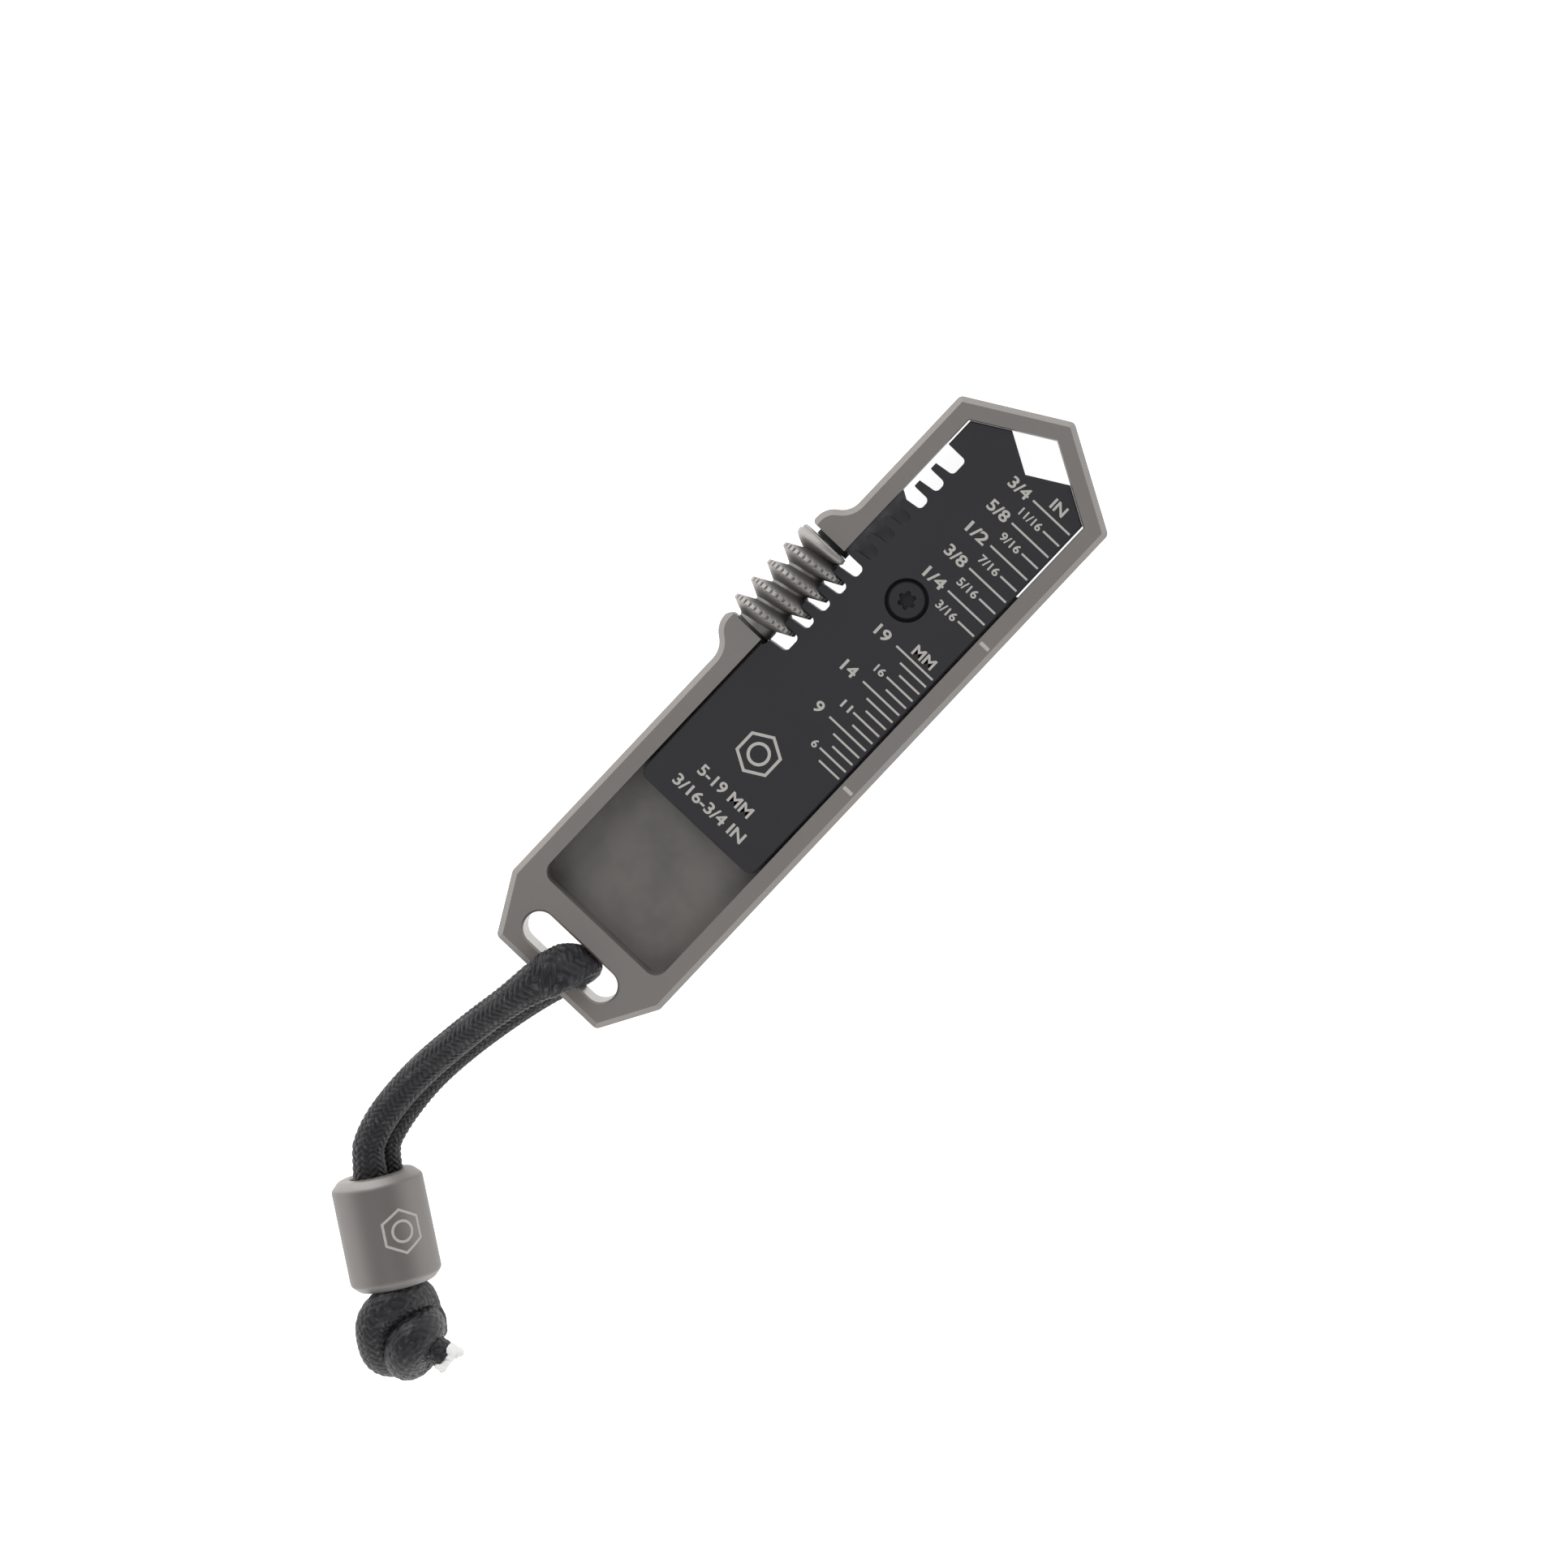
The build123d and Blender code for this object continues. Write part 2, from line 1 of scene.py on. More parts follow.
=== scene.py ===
# %% [markdown]
# # A pocket adjustable wrench on a cord lanyard
#
# The real thing is a flat milled titanium frame. Half of a hexagon is cut in its head, and a black steel
# plate that carries the other half slides in a pocket. A knurled worm drives a rack in the plate's edge. A
# braided cord through a slot in the other end carries a titanium bead and ends in a knot.
#
# The frame, plate, screw, nut, pins, spring and washers come from CAD, and get only materials here. The
# worm, the bead, the cord, the knot and the engraved scales are surfaces worked out with numpy, because
# their looks are in detail that the CAD solids leave out. Everything is in metres, and small sizes are
# written in millimetres times MM.

# %% The CAD model, with each part's place baked into its mesh, and helpers that attach and hide parts
from math import cos, pi, radians, sin, tan

import bmesh
import bpy
import numpy as np
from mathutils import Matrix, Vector


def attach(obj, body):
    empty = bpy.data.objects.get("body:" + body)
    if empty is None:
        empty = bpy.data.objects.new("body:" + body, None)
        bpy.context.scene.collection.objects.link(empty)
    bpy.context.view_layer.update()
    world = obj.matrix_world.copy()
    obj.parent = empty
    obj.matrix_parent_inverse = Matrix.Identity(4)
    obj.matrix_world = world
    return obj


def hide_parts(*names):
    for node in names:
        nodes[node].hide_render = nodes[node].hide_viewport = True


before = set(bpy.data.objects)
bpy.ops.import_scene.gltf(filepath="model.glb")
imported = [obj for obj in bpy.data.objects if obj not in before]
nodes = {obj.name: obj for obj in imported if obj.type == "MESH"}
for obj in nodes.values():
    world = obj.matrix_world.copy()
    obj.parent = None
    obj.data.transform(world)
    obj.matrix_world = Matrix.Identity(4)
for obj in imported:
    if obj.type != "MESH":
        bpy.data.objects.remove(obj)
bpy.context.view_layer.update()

MM = 0.001

# %% [markdown]
# ## Camera
#
# The wrench is seen from straight above its jaw, a little under half a metre away, with a lean of about a
# degree. So the jaw shows no side walls, and the slot at the other end shows one. Turning the camera to the
# wrench's middle would show other walls. A shift of its picture, as a view camera has, centres the wrench and
# leaves the walls as they are. The head points to the upper right.

# %% Camera
FRAME_TOP = 3.0 * MM
DISTANCE, LEAN, TURN = 460 * MM, radians(1.22), radians(43.35)
ABOVE = (1.0 * MM, 70.0 * MM)  # the place in the frame's plane that the camera stands over
camera_data = bpy.data.cameras.new("camera")
camera_data.sensor_width = 36.0
camera_data.lens = 89.28
camera_data.shift_x, camera_data.shift_y = -0.0896, -0.1212
camera_data.clip_start = 0.01
camera_data.clip_end = 10.0
camera = bpy.data.objects.new("camera", camera_data)
camera.location = (*ABOVE, FRAME_TOP + DISTANCE)
camera.rotation_mode = "ZYX"
camera.rotation_euler = (-LEAN, 0, TURN)
bpy.context.scene.collection.objects.link(camera)
bpy.context.scene.camera = camera
print("camera lens", round(camera_data.lens, 2), "mm")

# %% [markdown]
# ## Surfaces from arrays
#
# A surface here is a grid of points, worked out as one numpy array. The same piece could be built from
# primitives and modifiers, but a formula gives clean rows of faces that follow the shape. A few helpers
# turn a grid into a mesh: they join neighbouring points into four-sided faces, close the grid on itself
# where it wraps round, fill its two ends, and turn the whole skin outwards if its volume comes out
# negative.

# %% Helper: a mesh object from points and faces
SHARP = radians(38)  # an edge that turns further than this stays sharp


def mesh_object(name, points, faces, smooth=True):
    """Makes a mesh from an array of points and a list of faces, and puts it in the scene."""
    mesh = bpy.data.meshes.new(name)
    mesh.from_pydata(np.asarray(points).tolist(), [], faces)
    mesh.polygons.foreach_set("use_smooth", [smooth] * len(mesh.polygons))
    mesh.update()
    if smooth:
        mesh.set_sharp_from_angle(angle=SHARP)
    thing = bpy.data.objects.new(name, mesh)
    bpy.context.scene.collection.objects.link(thing)
    return thing


# %% Helper: the faces of a grid
def grid_faces(rows, columns, close_rows=False, close_columns=False):
    """Faces between neighbours of a rows-by-columns grid; point (i, j) has number i * columns + j."""
    i, j = np.meshgrid(np.arange(rows if close_rows else rows - 1),
                       np.arange(columns if close_columns else columns - 1), indexing="ij")
    below, right = (i + 1) % rows, (j + 1) % columns
    corners = [i * columns + j, i * columns + right, below * columns + right, below * columns + j]
    return np.stack(corners, -1).reshape(-1, 4).tolist()


print("a grid of 3 by 4 points has", len(grid_faces(3, 4)), "faces")


# %% Helpers: a skin that faces outwards
def signed_volume(points, faces):
    """Sum of the tetrahedra from the origin to each face's fan of triangles; negative if inside out."""
    total = 0.0
    for size in {len(face) for face in faces}:
        ring = np.asarray([face for face in faces if len(face) == size])
        a = points[ring[:, 0]]
        for k in range(1, size - 1):
            normal = np.cross(points[ring[:, k]], points[ring[:, k + 1]])
            total += np.einsum("ij,ij->i", a, normal).sum() / 6
    return total


def outward(points, faces):
    """The same skin, with every face turned round if its volume comes out negative."""
    if signed_volume(points, faces) < 0:
        faces = [face[::-1] for face in faces]
    return points, faces


# %% Helpers: a skin with two ends, a skin like a ring, and several skins as one
def tube(grid):
    """A closed skin from a grid whose rows are rings along the piece; a fan of faces closes each end."""
    rows, columns = grid.shape[:2]
    points = np.vstack([grid.reshape(-1, 3), grid[0].mean(0), grid[-1].mean(0)])
    faces = grid_faces(rows, columns, close_columns=True)
    low, high, last = rows * columns, rows * columns + 1, (rows - 1) * columns
    faces += [[low, (j + 1) % columns, j] for j in range(columns)]
    faces += [[high, last + j, last + (j + 1) % columns] for j in range(columns)]
    return outward(points, faces)


def closed_ring(grid):
    """A closed skin from a grid that joins up with itself both ways, as the skin of a ring does."""
    grid = np.asarray(grid)
    return outward(grid.reshape(-1, 3), grid_faces(*grid.shape[:2], close_rows=True, close_columns=True))


def joined(skins):
    """Several skins as one: all their points in a row, with each skin's face numbers moved on to match."""
    starts = np.cumsum([0] + [len(points) for points, _ in skins]).tolist()
    faces = [[start + k for k in face] for start, (_, own) in zip(starts, skins) for face in own]
    return np.vstack([points for points, _ in skins]), faces


# %% [markdown]
# ## Cord
#
# The lanyard is one cord of 3.6 mm, folded in the slot: both legs run through the bead into the knot. It
# lies under its own weight, so its line is a smooth spline drawn towards a few places: over and under the
# frame's end bar, down to the table and into the bead. A cloth simulation could find such a line too, but
# the spline stays where it is put, and each leg is laid along it.

# %% The bead's place, and the two routes in mm, from the middle of the slot to the bead
CORD = 3.6 * MM
BEAD_CENTRE = Vector((6.39, -40.15, -3.6)) * MM
BEAD_HEADING = radians(-35)
BEAD_LENGTH, BEAD_RADIUS, BEAD_BORE = 13.6 * MM, 5.55 * MM, 3.1 * MM
BEAD_WAY = Vector((cos(BEAD_HEADING), sin(BEAD_HEADING), 0))
BEAD_SIDEWAYS = Vector((-sin(BEAD_HEADING), cos(BEAD_HEADING), 0))
KNOT_GAP = 0.2 * MM
KNOT_FACE = BEAD_CENTRE + BEAD_WAY * (BEAD_LENGTH / 2 + KNOT_GAP)
LEG_SPACING, LEG_TWIST, LEG_STRAIGHT = 2.9 * MM, radians(19), 2.0 * MM
SLOT_CENTRE = (2.05, 0.03, 0.0)
FRONT_ROUTE = [SLOT_CENTRE, (1.6, 0.0, 3.5), (0.7, -2.6, 6.1), (-1.0, -6.3, 5.4), (-2.1, -11.3, 3.2),
               (-2.9, -16.9, 0.9), (-3.5, -22.6, -0.9), (-3.45, -27.9, -1.7), (-2.75, -32.2, -1.9)]
BACK_ROUTE = [SLOT_CENTRE, (2.5, 0.06, -3.5), (1.85, -2.7, -5.6), (0.3, -7.4, -5.5), (-1.0, -13.1, -5.7),
              (-2.0, -19.2, -5.8), (-2.4, -25.1, -5.8), (-2.0, -30.1, -5.6)]


def leg_points(route, side):
    """The route in metres, then the leg's straight run through the bead; side +1 is the upper leg."""
    offset = BEAD_SIDEWAYS * (-side * sin(LEG_TWIST) * LEG_SPACING / 2)
    offset += Vector((0, 0, side * cos(LEG_TWIST) * LEG_SPACING / 2))
    above = BEAD_CENTRE - BEAD_WAY * (BEAD_LENGTH / 2 + LEG_STRAIGHT) + offset
    return [Vector(p) * MM for p in route] + [above, KNOT_FACE + offset]


print("places on the routes:", len(leg_points(FRONT_ROUTE, 1)), "and", len(leg_points(BACK_ROUTE, -1)))


# %% Helpers: a spline as a line of points
def spline_line(points, resolution=24):
    """Points along a smooth NURBS spline that has the given control points, as an array."""
    data = bpy.data.curves.new("route", "CURVE")
    data.dimensions = "3D"
    data.resolution_u = resolution
    spline = data.splines.new("NURBS")
    spline.points.add(len(points) - 1)
    for place, point in zip(spline.points, points):
        place.co = (*point, 1)
    spline.order_u = 3
    spline.use_endpoint_u = True
    route = bpy.data.objects.new("route", data)
    mesh = bpy.data.meshes.new_from_object(route)
    line = np.empty(len(mesh.vertices) * 3)
    mesh.vertices.foreach_get("co", line)
    bpy.data.objects.remove(route)
    bpy.data.meshes.remove(mesh)
    bpy.data.curves.remove(data)
    return line.reshape(-1, 3)


def run_length(line):
    """Length along a line of points at each of them, starting from 0."""
    steps = np.linalg.norm(np.diff(line, axis=0), axis=1)
    return np.concatenate([[0], np.cumsum(steps)])


def even_line(line, count):
    """The same line with its points spaced evenly."""
    along = run_length(line)
    places = np.linspace(0, along[-1], count)
    return np.stack([np.interp(places, along, line[:, k]) for k in range(3)], 1)


# %% The two legs' lines
front_line = spline_line(leg_points(FRONT_ROUTE, 1))
back_line = spline_line(leg_points(BACK_ROUTE, -1))
print("cord legs in mm:", [round(run_length(line)[-1] / MM, 1) for line in (front_line, back_line)])

# %% [markdown]
# ## Braided sheath
#
# The cord's sheath is a braid of thin nylon carriers. Half of them wind one way and half the other, and
# each passes over two and under two, which shows as columns of small V shapes along the cord. A bump
# texture could draw them, but would leave the cord's outline smooth, so the braid is real relief in the
# mesh. It is worked out from two slanted counts, a and b: a carrier of one family keeps b constant, and
# one of the other family keeps a constant. Where a family is on top, its float is a rounded ridge, high in
# its middle and low where it dives under its neighbour.

# %% Helper: the height of the braid
CARRIER_PITCH = 0.8 * MM  # from one carrier to the next round the cord; the real 0.6 mm is too fine to show
CELL = 0.8 * MM  # how far along the cord one crossing reaches
FLOAT_END = 0.45  # how high a float still is where it dives


def braid_height(turn, along, carriers):
    """0 to 1. turn counts times round the cord, along is in metres.

    a = carriers * turn + along / cell and b = carriers * turn - along / cell. The first family is on top
    where floor(a) + floor(b) modulo 4 is 0 or 1. A float's height is the half circle across it, times
    FLOAT_END plus the rest of 1 times the root of sin(pi * way along it).
    """
    a = carriers * turn + along / CELL
    b = carriers * turn - along / CELL
    i, j = np.floor(a), np.floor(b)
    first = np.mod(i + j, 4) < 2
    across = np.where(first, b - j, a - i)
    lengthways = np.where(first, np.mod(a + j, 4), np.mod(b + i - 2, 4)) / 2
    lengthways = np.clip(lengthways, 0, 1)
    half_circle = np.sqrt(1 - (2 * across - 1) ** 2)
    return half_circle * (FLOAT_END + (1 - FLOAT_END) * np.sqrt(np.sin(pi * lengthways)))


sample = braid_height(np.linspace(0, 1, 200)[None, :], np.linspace(0, CELL, 50)[:, None], 14)
print("braid height runs from", round(sample.min(), 2), "to", round(sample.max(), 2))


# %% Helpers: a number stored at each point, for a material to read, and a direction square to a line
def store(thing, name, values):
    """Gives a mesh a named attribute with one number at each point."""
    thing.data.attributes.new(name, "FLOAT", "POINT").data.foreach_set("value", np.ravel(values))


def square_to(direction, way):
    """A direction of length 1 at each point of a line, with its part along the line taken away."""
    direction = np.asarray(direction, float)
    flat = direction - way * (way @ direction)[:, None]
    return flat / np.linalg.norm(flat, axis=1)[:, None]


# %% Helper: a braided tube along a line
BRAID_DEPTH = 0.22 * MM
TIP_SHARE = 0.02  # the least square of a rounded end's size, against a full one


def braided_tube(name, line, section, reference, columns=96, per_mm=9, widen=None, square=None,
                 taper=(0, 0)):
    """A braided cord along a line of points, which stores its braid's height at each point.

    Its section is an ellipse in the plane of two directions: "up", which is the reference direction made
    square to the line, and "side", the cross product of the line's direction with that. section is a
    function that gives the half sizes in these two directions along the line. widen gives, along the line,
    how much wider the cord lies, and the direction that the extra width goes to: a point's share of it is
    1 + 1.5 u - 0.5 u^3, where u is its place across the section, from -1 to 1. square gives, along the
    line, how far four corners are pushed out: the section grows by square * sin(2 * (angle + the bead's
    heading))^2. taper rounds the two ends off over that length, as a quarter circle does.
    """
    rows = int(run_length(line)[-1] / MM * per_mm)
    line = even_line(line, rows)
    along = run_length(line)
    way = np.gradient(line, axis=0)
    way /= np.linalg.norm(way, axis=1)[:, None]
    up = square_to(reference, way)
    side = np.cross(way, up)
    turn = np.arange(columns) / columns
    angle = 2 * pi * turn
    half_up, half_side = section(line)
    carriers = 2 * round(pi * half_side[0] / CARRIER_PITCH)  # an even number, so the pattern closes
    height = braid_height(turn[None, :], along[:, None], carriers)
    relief = BRAID_DEPTH * (height - 1)
    grown = np.ones((rows, 1))
    for left, reach in ((along, taper[0]), (along[-1] - along, taper[1])):
        if reach:
            quarter = 1 - (1 - np.clip(left / reach, 0, 1)) ** 2
            grown = grown * np.sqrt(np.clip(quarter, TIP_SHARE, 1))[:, None]
    if square is not None:
        grown = grown * (1 + square(along)[:, None] * np.sin(2 * (angle + BEAD_HEADING)) ** 2)
    ring = (up[:, None] * (np.cos(angle) * (half_up[:, None] * grown + relief))[:, :, None]
            + side[:, None] * (np.sin(angle) * (half_side[:, None] * grown + relief))[:, :, None])
    if widen is not None:
        amount, towards = widen
        towards = square_to(towards, way)
        share = np.clip(np.einsum("ijk,ik->ij", ring, towards) / half_side[0], -1, 1)
        share = 1 + 1.5 * share - 0.5 * share ** 3
        ring = ring + (share * half_side[0] * amount(along)[:, None])[:, :, None] * towards[:, None]
    thing = mesh_object(name, *tube(line[:, None] + ring))
    store(thing, "braid", np.concatenate([height.ravel(), [0, 0]]))
    return thing


# %% [markdown]
# ## The two legs
#
# A soft cord doesn't stay round. It lies flat where it bends over the bar, is pressed square in the slot,
# and is squeezed in the bead. So each leg's section changes along it, by steps and bell curves that have
# no kinks.

# %% How the legs' sections change along them
LAID_FLAT = 0.09  # how much wider than round the front leg lies all along
BAR_FLAT, BAR_PLACE, BAR_REACH = 0.44, 6.2 * MM, 4.6 * MM  # and where it bends over the bar
SLOT_SQUARE, SLOT_END, SLOT_FADE = 0.18, 7.5 * MM, 1.0 * MM
IN_BEAD_WIDE, IN_BEAD_TALL = 1.1, 0.8  # both legs, against a round cord
MOUTH_REACH, MOUTH_FADE = 1.2 * MM, 0.5 * MM  # where they start to be squeezed above the bead
BACK_WIDE, BACK_PLACE, BACK_FADE = 0.07, 25 * MM, 1.5 * MM


def soft_step(distance, fade):
    """From 0 to 1 where the distance passes 0: 1 / (1 + exp(-distance / fade))."""
    return 1 / (1 + np.exp(-distance / fade))


def flattened_on_bar(along):
    """How much wider it lies: LAID_FLAT, and a bell curve on the bar, exp(-(distance / reach)^2)."""
    return LAID_FLAT + BAR_FLAT * np.exp(-((along - BAR_PLACE) / BAR_REACH) ** 2)


def pressed_in_slot(along):
    """How square the leg is: SLOT_SQUARE in the slot, and a soft step down to nothing over the bar."""
    return SLOT_SQUARE * soft_step(SLOT_END - along, SLOT_FADE)


def squeezed_in_bead(line):
    """The leg's half width and half height: both CORD / 2, and a soft step to wider and lower in the bead."""
    left = run_length(line)[-1] - run_length(line)
    inside = 1 - soft_step(left - BEAD_LENGTH - MOUTH_REACH, MOUTH_FADE)
    return CORD / 2 * (1 + (IN_BEAD_WIDE - 1) * inside), CORD / 2 * (1 + (IN_BEAD_TALL - 1) * inside)


def spread_at_bead(along):
    """How much wider the back leg lies: a soft step up to BACK_WIDE, at BACK_PLACE from its end."""
    return BACK_WIDE * soft_step(along - along[-1] + BACK_PLACE, BACK_FADE)


# %% The legs
front_leg = braided_tube("cord_front_braid", front_line, squeezed_in_bead, BEAD_SIDEWAYS,
                         widen=(flattened_on_bar, (-1, 0, 0)), square=pressed_in_slot)
back_leg = braided_tube("cord_back_braid", back_line, squeezed_in_bead, BEAD_SIDEWAYS,
                        widen=(spread_at_bead, (0.98, 0.2, 0)))
print("braided legs:", [len(leg.data.polygons) for leg in (front_leg, back_leg)], "faces")

# %% [markdown]
# ## Knot
#
# The two legs are tied together in a fat overhand knot under the bead. From above it shows one wrap that
# comes out beside the bead and runs down the left, a second wrap nested in it, and the cut tail on the
# right with its white core strands. One tube that really crosses itself could be tied, but a tight knot's
# tubes press into each other. So each wrap is a braided tube on its own spline, and their ends hide in one
# another. The places are in the knot's own directions: across, away from the bead, and up.

# %% Helpers: a place in the knot, and a section that stays the same
def knot_point(across, away, up):
    """A place in the knot, in mm from the middle of the bead's end face."""
    return KNOT_FACE + BEAD_SIDEWAYS * (across * MM) + BEAD_WAY * (away * MM) + Vector((0, 0, up * MM))


def steady(tall, wide):
    """A section with the same half sizes all along, in mm."""
    return lambda line: np.outer((tall, wide), np.full(len(line), MM))


# Each wrap's half height and half width, and the places that its spline is drawn towards, in mm.
KNOT_WRAPS = {
    "upper_wrap": (2.2, 2.6, [(1.5, 5.0, -3.2), (1.7, 2.7, -1.2), (1.7, 1.4, 1.2), (-0.6, 1.5, 3.1),
                              (-3.0, 3.1, 2.7), (-3.45, 5.6, 1.8), (-3.5, 7.7, 0.2), (-2.4, 8.8, -2.4),
                              (0.4, 8.6, -3.4)]),
    "lower_wrap": (2.3, 2.75, [(1.2, 4.8, -3.0), (2.35, 5.4, -0.8), (2.35, 5.6, 1.8), (0.9, 5.85, 3.1),
                               (-0.2, 7.4, 2.9), (-0.6, 8.85, 0.9), (-0.1, 8.85, -1.6), (1.6, 7.6, -3.0)]),
    "rear_wrap": (2.2, 2.2, [(-3.4, 6.0, -0.6), (-3.4, 3.0, -1.2), (-1.6, 2.2, -3.4), (1.2, 3.0, -3.4),
                             (2.4, 5.6, -2.0), (2.4, 7.6, -0.8)]),
    "tail": (1.75, 1.75, [(0.9, 5.7, 0.8), (2.2, 7.1, 1.6), (3.3, 8.3, 1.7), (4.15, 9.2, 1.5)]),
}

# %% The knot's wraps
KNOT_UP = (0.31, 0.22, 0.92)
ROUND_END, CUT_END = 1.5 * MM, 0.2 * MM
wraps = []
for wrap, (tall, wide, places) in KNOT_WRAPS.items():
    line = spline_line([knot_point(*place) for place in places])
    piece = braided_tube("knot_" + wrap, line, steady(tall, wide), KNOT_UP, columns=80, per_mm=8,
                         taper=(ROUND_END, CUT_END if wrap == "tail" else ROUND_END))
    wraps.append(piece)
    print(wrap, round(run_length(line)[-1] / MM, 1), "mm,", len(piece.data.polygons), "faces")

# %% [markdown]
# ## Cut end of the cord
#
# Where the cord is cut, its core shows: nine twisted white strands, frayed to slightly different lengths.
# Hair could stand for them, but so few and such thick ones are simple tubes.

# %% Helpers: a twisted strand, and its place in the tuft
def strand(start, finish, radius, twist):
    """A thin twisted strand: a straight line with two lobes that wind round it, pulled to a point at its
    end.

    Its radius is radius * (1 + 0.12 cos(2 (angle + twist * t))) * the root of (1.02 - t^6), t from 0 to 1.
    """
    start, finish = np.asarray(start), np.asarray(finish)
    t = np.linspace(0, 1, 24)[:, None]
    line = start + (finish - start) * t
    way = (finish - start) / np.linalg.norm(finish - start)
    up = np.cross(way, (0, 0, 1.0))
    up /= np.linalg.norm(up)
    side = np.cross(way, up)
    angle = np.linspace(0, 2 * pi, 12, endpoint=False)[None, :]
    lobes = 1 + 0.12 * np.cos(2 * (angle + twist * t))
    size = radius * lobes * np.sqrt(np.clip(1.02 - t ** 6, 0, 1))
    ring = np.cos(angle)[..., None] * up + np.sin(angle)[..., None] * side
    return line[:, None] + size[..., None] * ring


TAIL_END, TAIL_WAY = (3.95, 8.95, 1.6), (0.70, 0.71)  # the cut's middle in the knot, and the tail's heading


def tuft_point(sideways, up, out):
    """A place in the tuft, in mm from the cut's middle: to the side of the tail, up, and out along it."""
    across, away, level = TAIL_END
    return knot_point(across + sideways * TAIL_WAY[1] + out * TAIL_WAY[0],
                      away - sideways * TAIL_WAY[0] + out * TAIL_WAY[1], level + up)


# %% The core strands
STRAND_RADIUS = 0.58 * MM
SPREAD, RISE = 1.25, 1.2  # how much further to the side and up a strand's tip stands than its base
# How far each strand stands to the side and up, and how long it is, in mm.
STRANDS = [(0.0, 0.0, 1.4), (0.65, 0.1, 1.7), (-0.65, 0.15, 1.3), (0.35, 0.75, 1.2), (-0.4, 0.7, 1.3),
           (1.2, 0.35, 2.0), (-1.2, 0.3, 1.3), (0.95, 0.85, 1.2), (-0.95, 0.8, 1.0)]
core_ends = mesh_object("core_strands", *joined([
    tube(strand(tuft_point(sideways, up, 0), tuft_point(sideways * SPREAD, up * RISE, long),
                STRAND_RADIUS, twist=2.0 + 0.3 * number))
    for number, (sideways, up, long) in enumerate(STRANDS)]))
print("core strands:", len(STRANDS))

# %% [markdown]
# ## Bead
#
# A bead turned from titanium bar: a cylinder with a 1 mm chamfer at each end, whose corners are slightly
# rounded by tumbling. A cylinder with a Bevel modifier would do, but a profile carried round an axis also
# knows where its chamfers are, and stores it for the material, which paints a highlight on them.

# %% Helpers: a profile carried round an axis, and an outline with rounded corners
def lathe(name, profile, origin, way, reference, columns):
    """A closed ring of (radius, height) points carried round an axis through origin along way."""
    profile = np.asarray(profile)
    way = np.asarray(way, float)
    up = np.asarray(reference, float)
    side = np.cross(way, up)
    angle = np.linspace(0, 2 * pi, columns, endpoint=False)
    ring = np.cos(angle)[:, None] * up + np.sin(angle)[:, None] * side
    grid = np.asarray(origin) + profile[:, None, :1] * ring[None] + profile[:, None, 1:] * way
    return mesh_object(name, *closed_ring(grid))


def rounded(corners, radius, steps=5):
    """A closed outline with each corner replaced by a quadratic curve that starts and ends radius away.

    The curve is (1 - t)^2 start + 2 t (1 - t) corner + t^2 finish. It takes at most 0.45 of a side.
    """
    corners = np.asarray(corners, float)
    sides = [np.roll(corners, shift, 0) - corners for shift in (1, -1)]
    lengths = [np.linalg.norm(way, axis=1) for way in sides]
    start, finish = (corners + way * (np.minimum(radius, length * 0.45) / length)[:, None]
                     for way, length in zip(sides, lengths))
    t = np.linspace(0, 1, steps)[None, :, None]
    curve = (1 - t) ** 2 * start[:, None] + 2 * t * (1 - t) * corners[:, None] + t ** 2 * finish[:, None]
    return curve.reshape(-1, 2)


# %% The bead
BEAD_CHAMFER, BEAD_ROUNDING, BEAD_COLUMNS = 1.0 * MM, 0.35 * MM, 160
half = BEAD_LENGTH / 2
low_corners = [(BEAD_BORE, -half), (BEAD_RADIUS - BEAD_CHAMFER, -half), (BEAD_RADIUS, -half + BEAD_CHAMFER)]
high_corners = [(across, -height) for across, height in reversed(low_corners)]
bead_profile = rounded(low_corners + high_corners, BEAD_ROUNDING)
bead = lathe("turned_bead", bead_profile, BEAD_CENTRE, BEAD_WAY, (0, 0, 1), BEAD_COLUMNS)
# The chamfers get a painted highlight: this share is 1 on them and 0 elsewhere.
chamfered = np.clip((np.abs(bead_profile[:, 1]) - half + BEAD_CHAMFER) / BEAD_ROUNDING, 0, 1)
store(bead, "painted_light", np.repeat(chamfered, BEAD_COLUMNS))
print("bead", round(2 * BEAD_RADIUS / MM, 1), "x", round(BEAD_LENGTH / MM, 1), "mm")

# %% [markdown]
# ## Worm
#
# The worm's thread is a V-shaped ridge with a narrow flat crest, wound right-handed with a pitch of 2.8
# mm. Its crest is knurled: notches right across it, so that a thumb grips it. At the low end a plain hub
# shows, and at the flat end the last turn is fat and plain, and fades out.
#
# A Screw modifier makes a plain thread, but not its run-outs or its knurl. Here the surface is one grid
# whose rows follow the thread, so the crest's edges are clean. Its radius is a function of the turn round
# the axis and the height along it, and the rows are cut off square at the worm's two ends.

# %% The worm's sizes
PITCH, WORM_LENGTH = 2.8 * MM, 13.2 * MM
CREST_RADIUS, ROOT_RADIUS, BORE_RADIUS = 4.25 * MM, 2.25 * MM, 1.1 * MM
CREST_FLAT, FLANK = 0.5 * MM, tan(radians(26))
WORM_X, WORM_LOW = -11.0 * MM, 43.4 * MM
WORM_HIGH = WORM_LOW + WORM_LENGTH
THREAD_START = 46.05 * MM  # the crest's height on the side of the rack
HUB_RADIUS, HUB_LENGTH = 2.38 * MM, 1.3 * MM  # of the plain hub at its low end
COLLAR, RUN_OUT = 0.25 * MM, 0.7 * MM  # where the cone above the hub starts, and how long it is
WORM_EDGE = 0.35 * MM  # the chamfer at the flat end
BEND = 55.2 * MM  # where the thread starts to bend towards the flat end
NOTCHES, NOTCH_DEPTH, NOTCH_REACH = 30, 0.22 * MM, 0.14 * MM
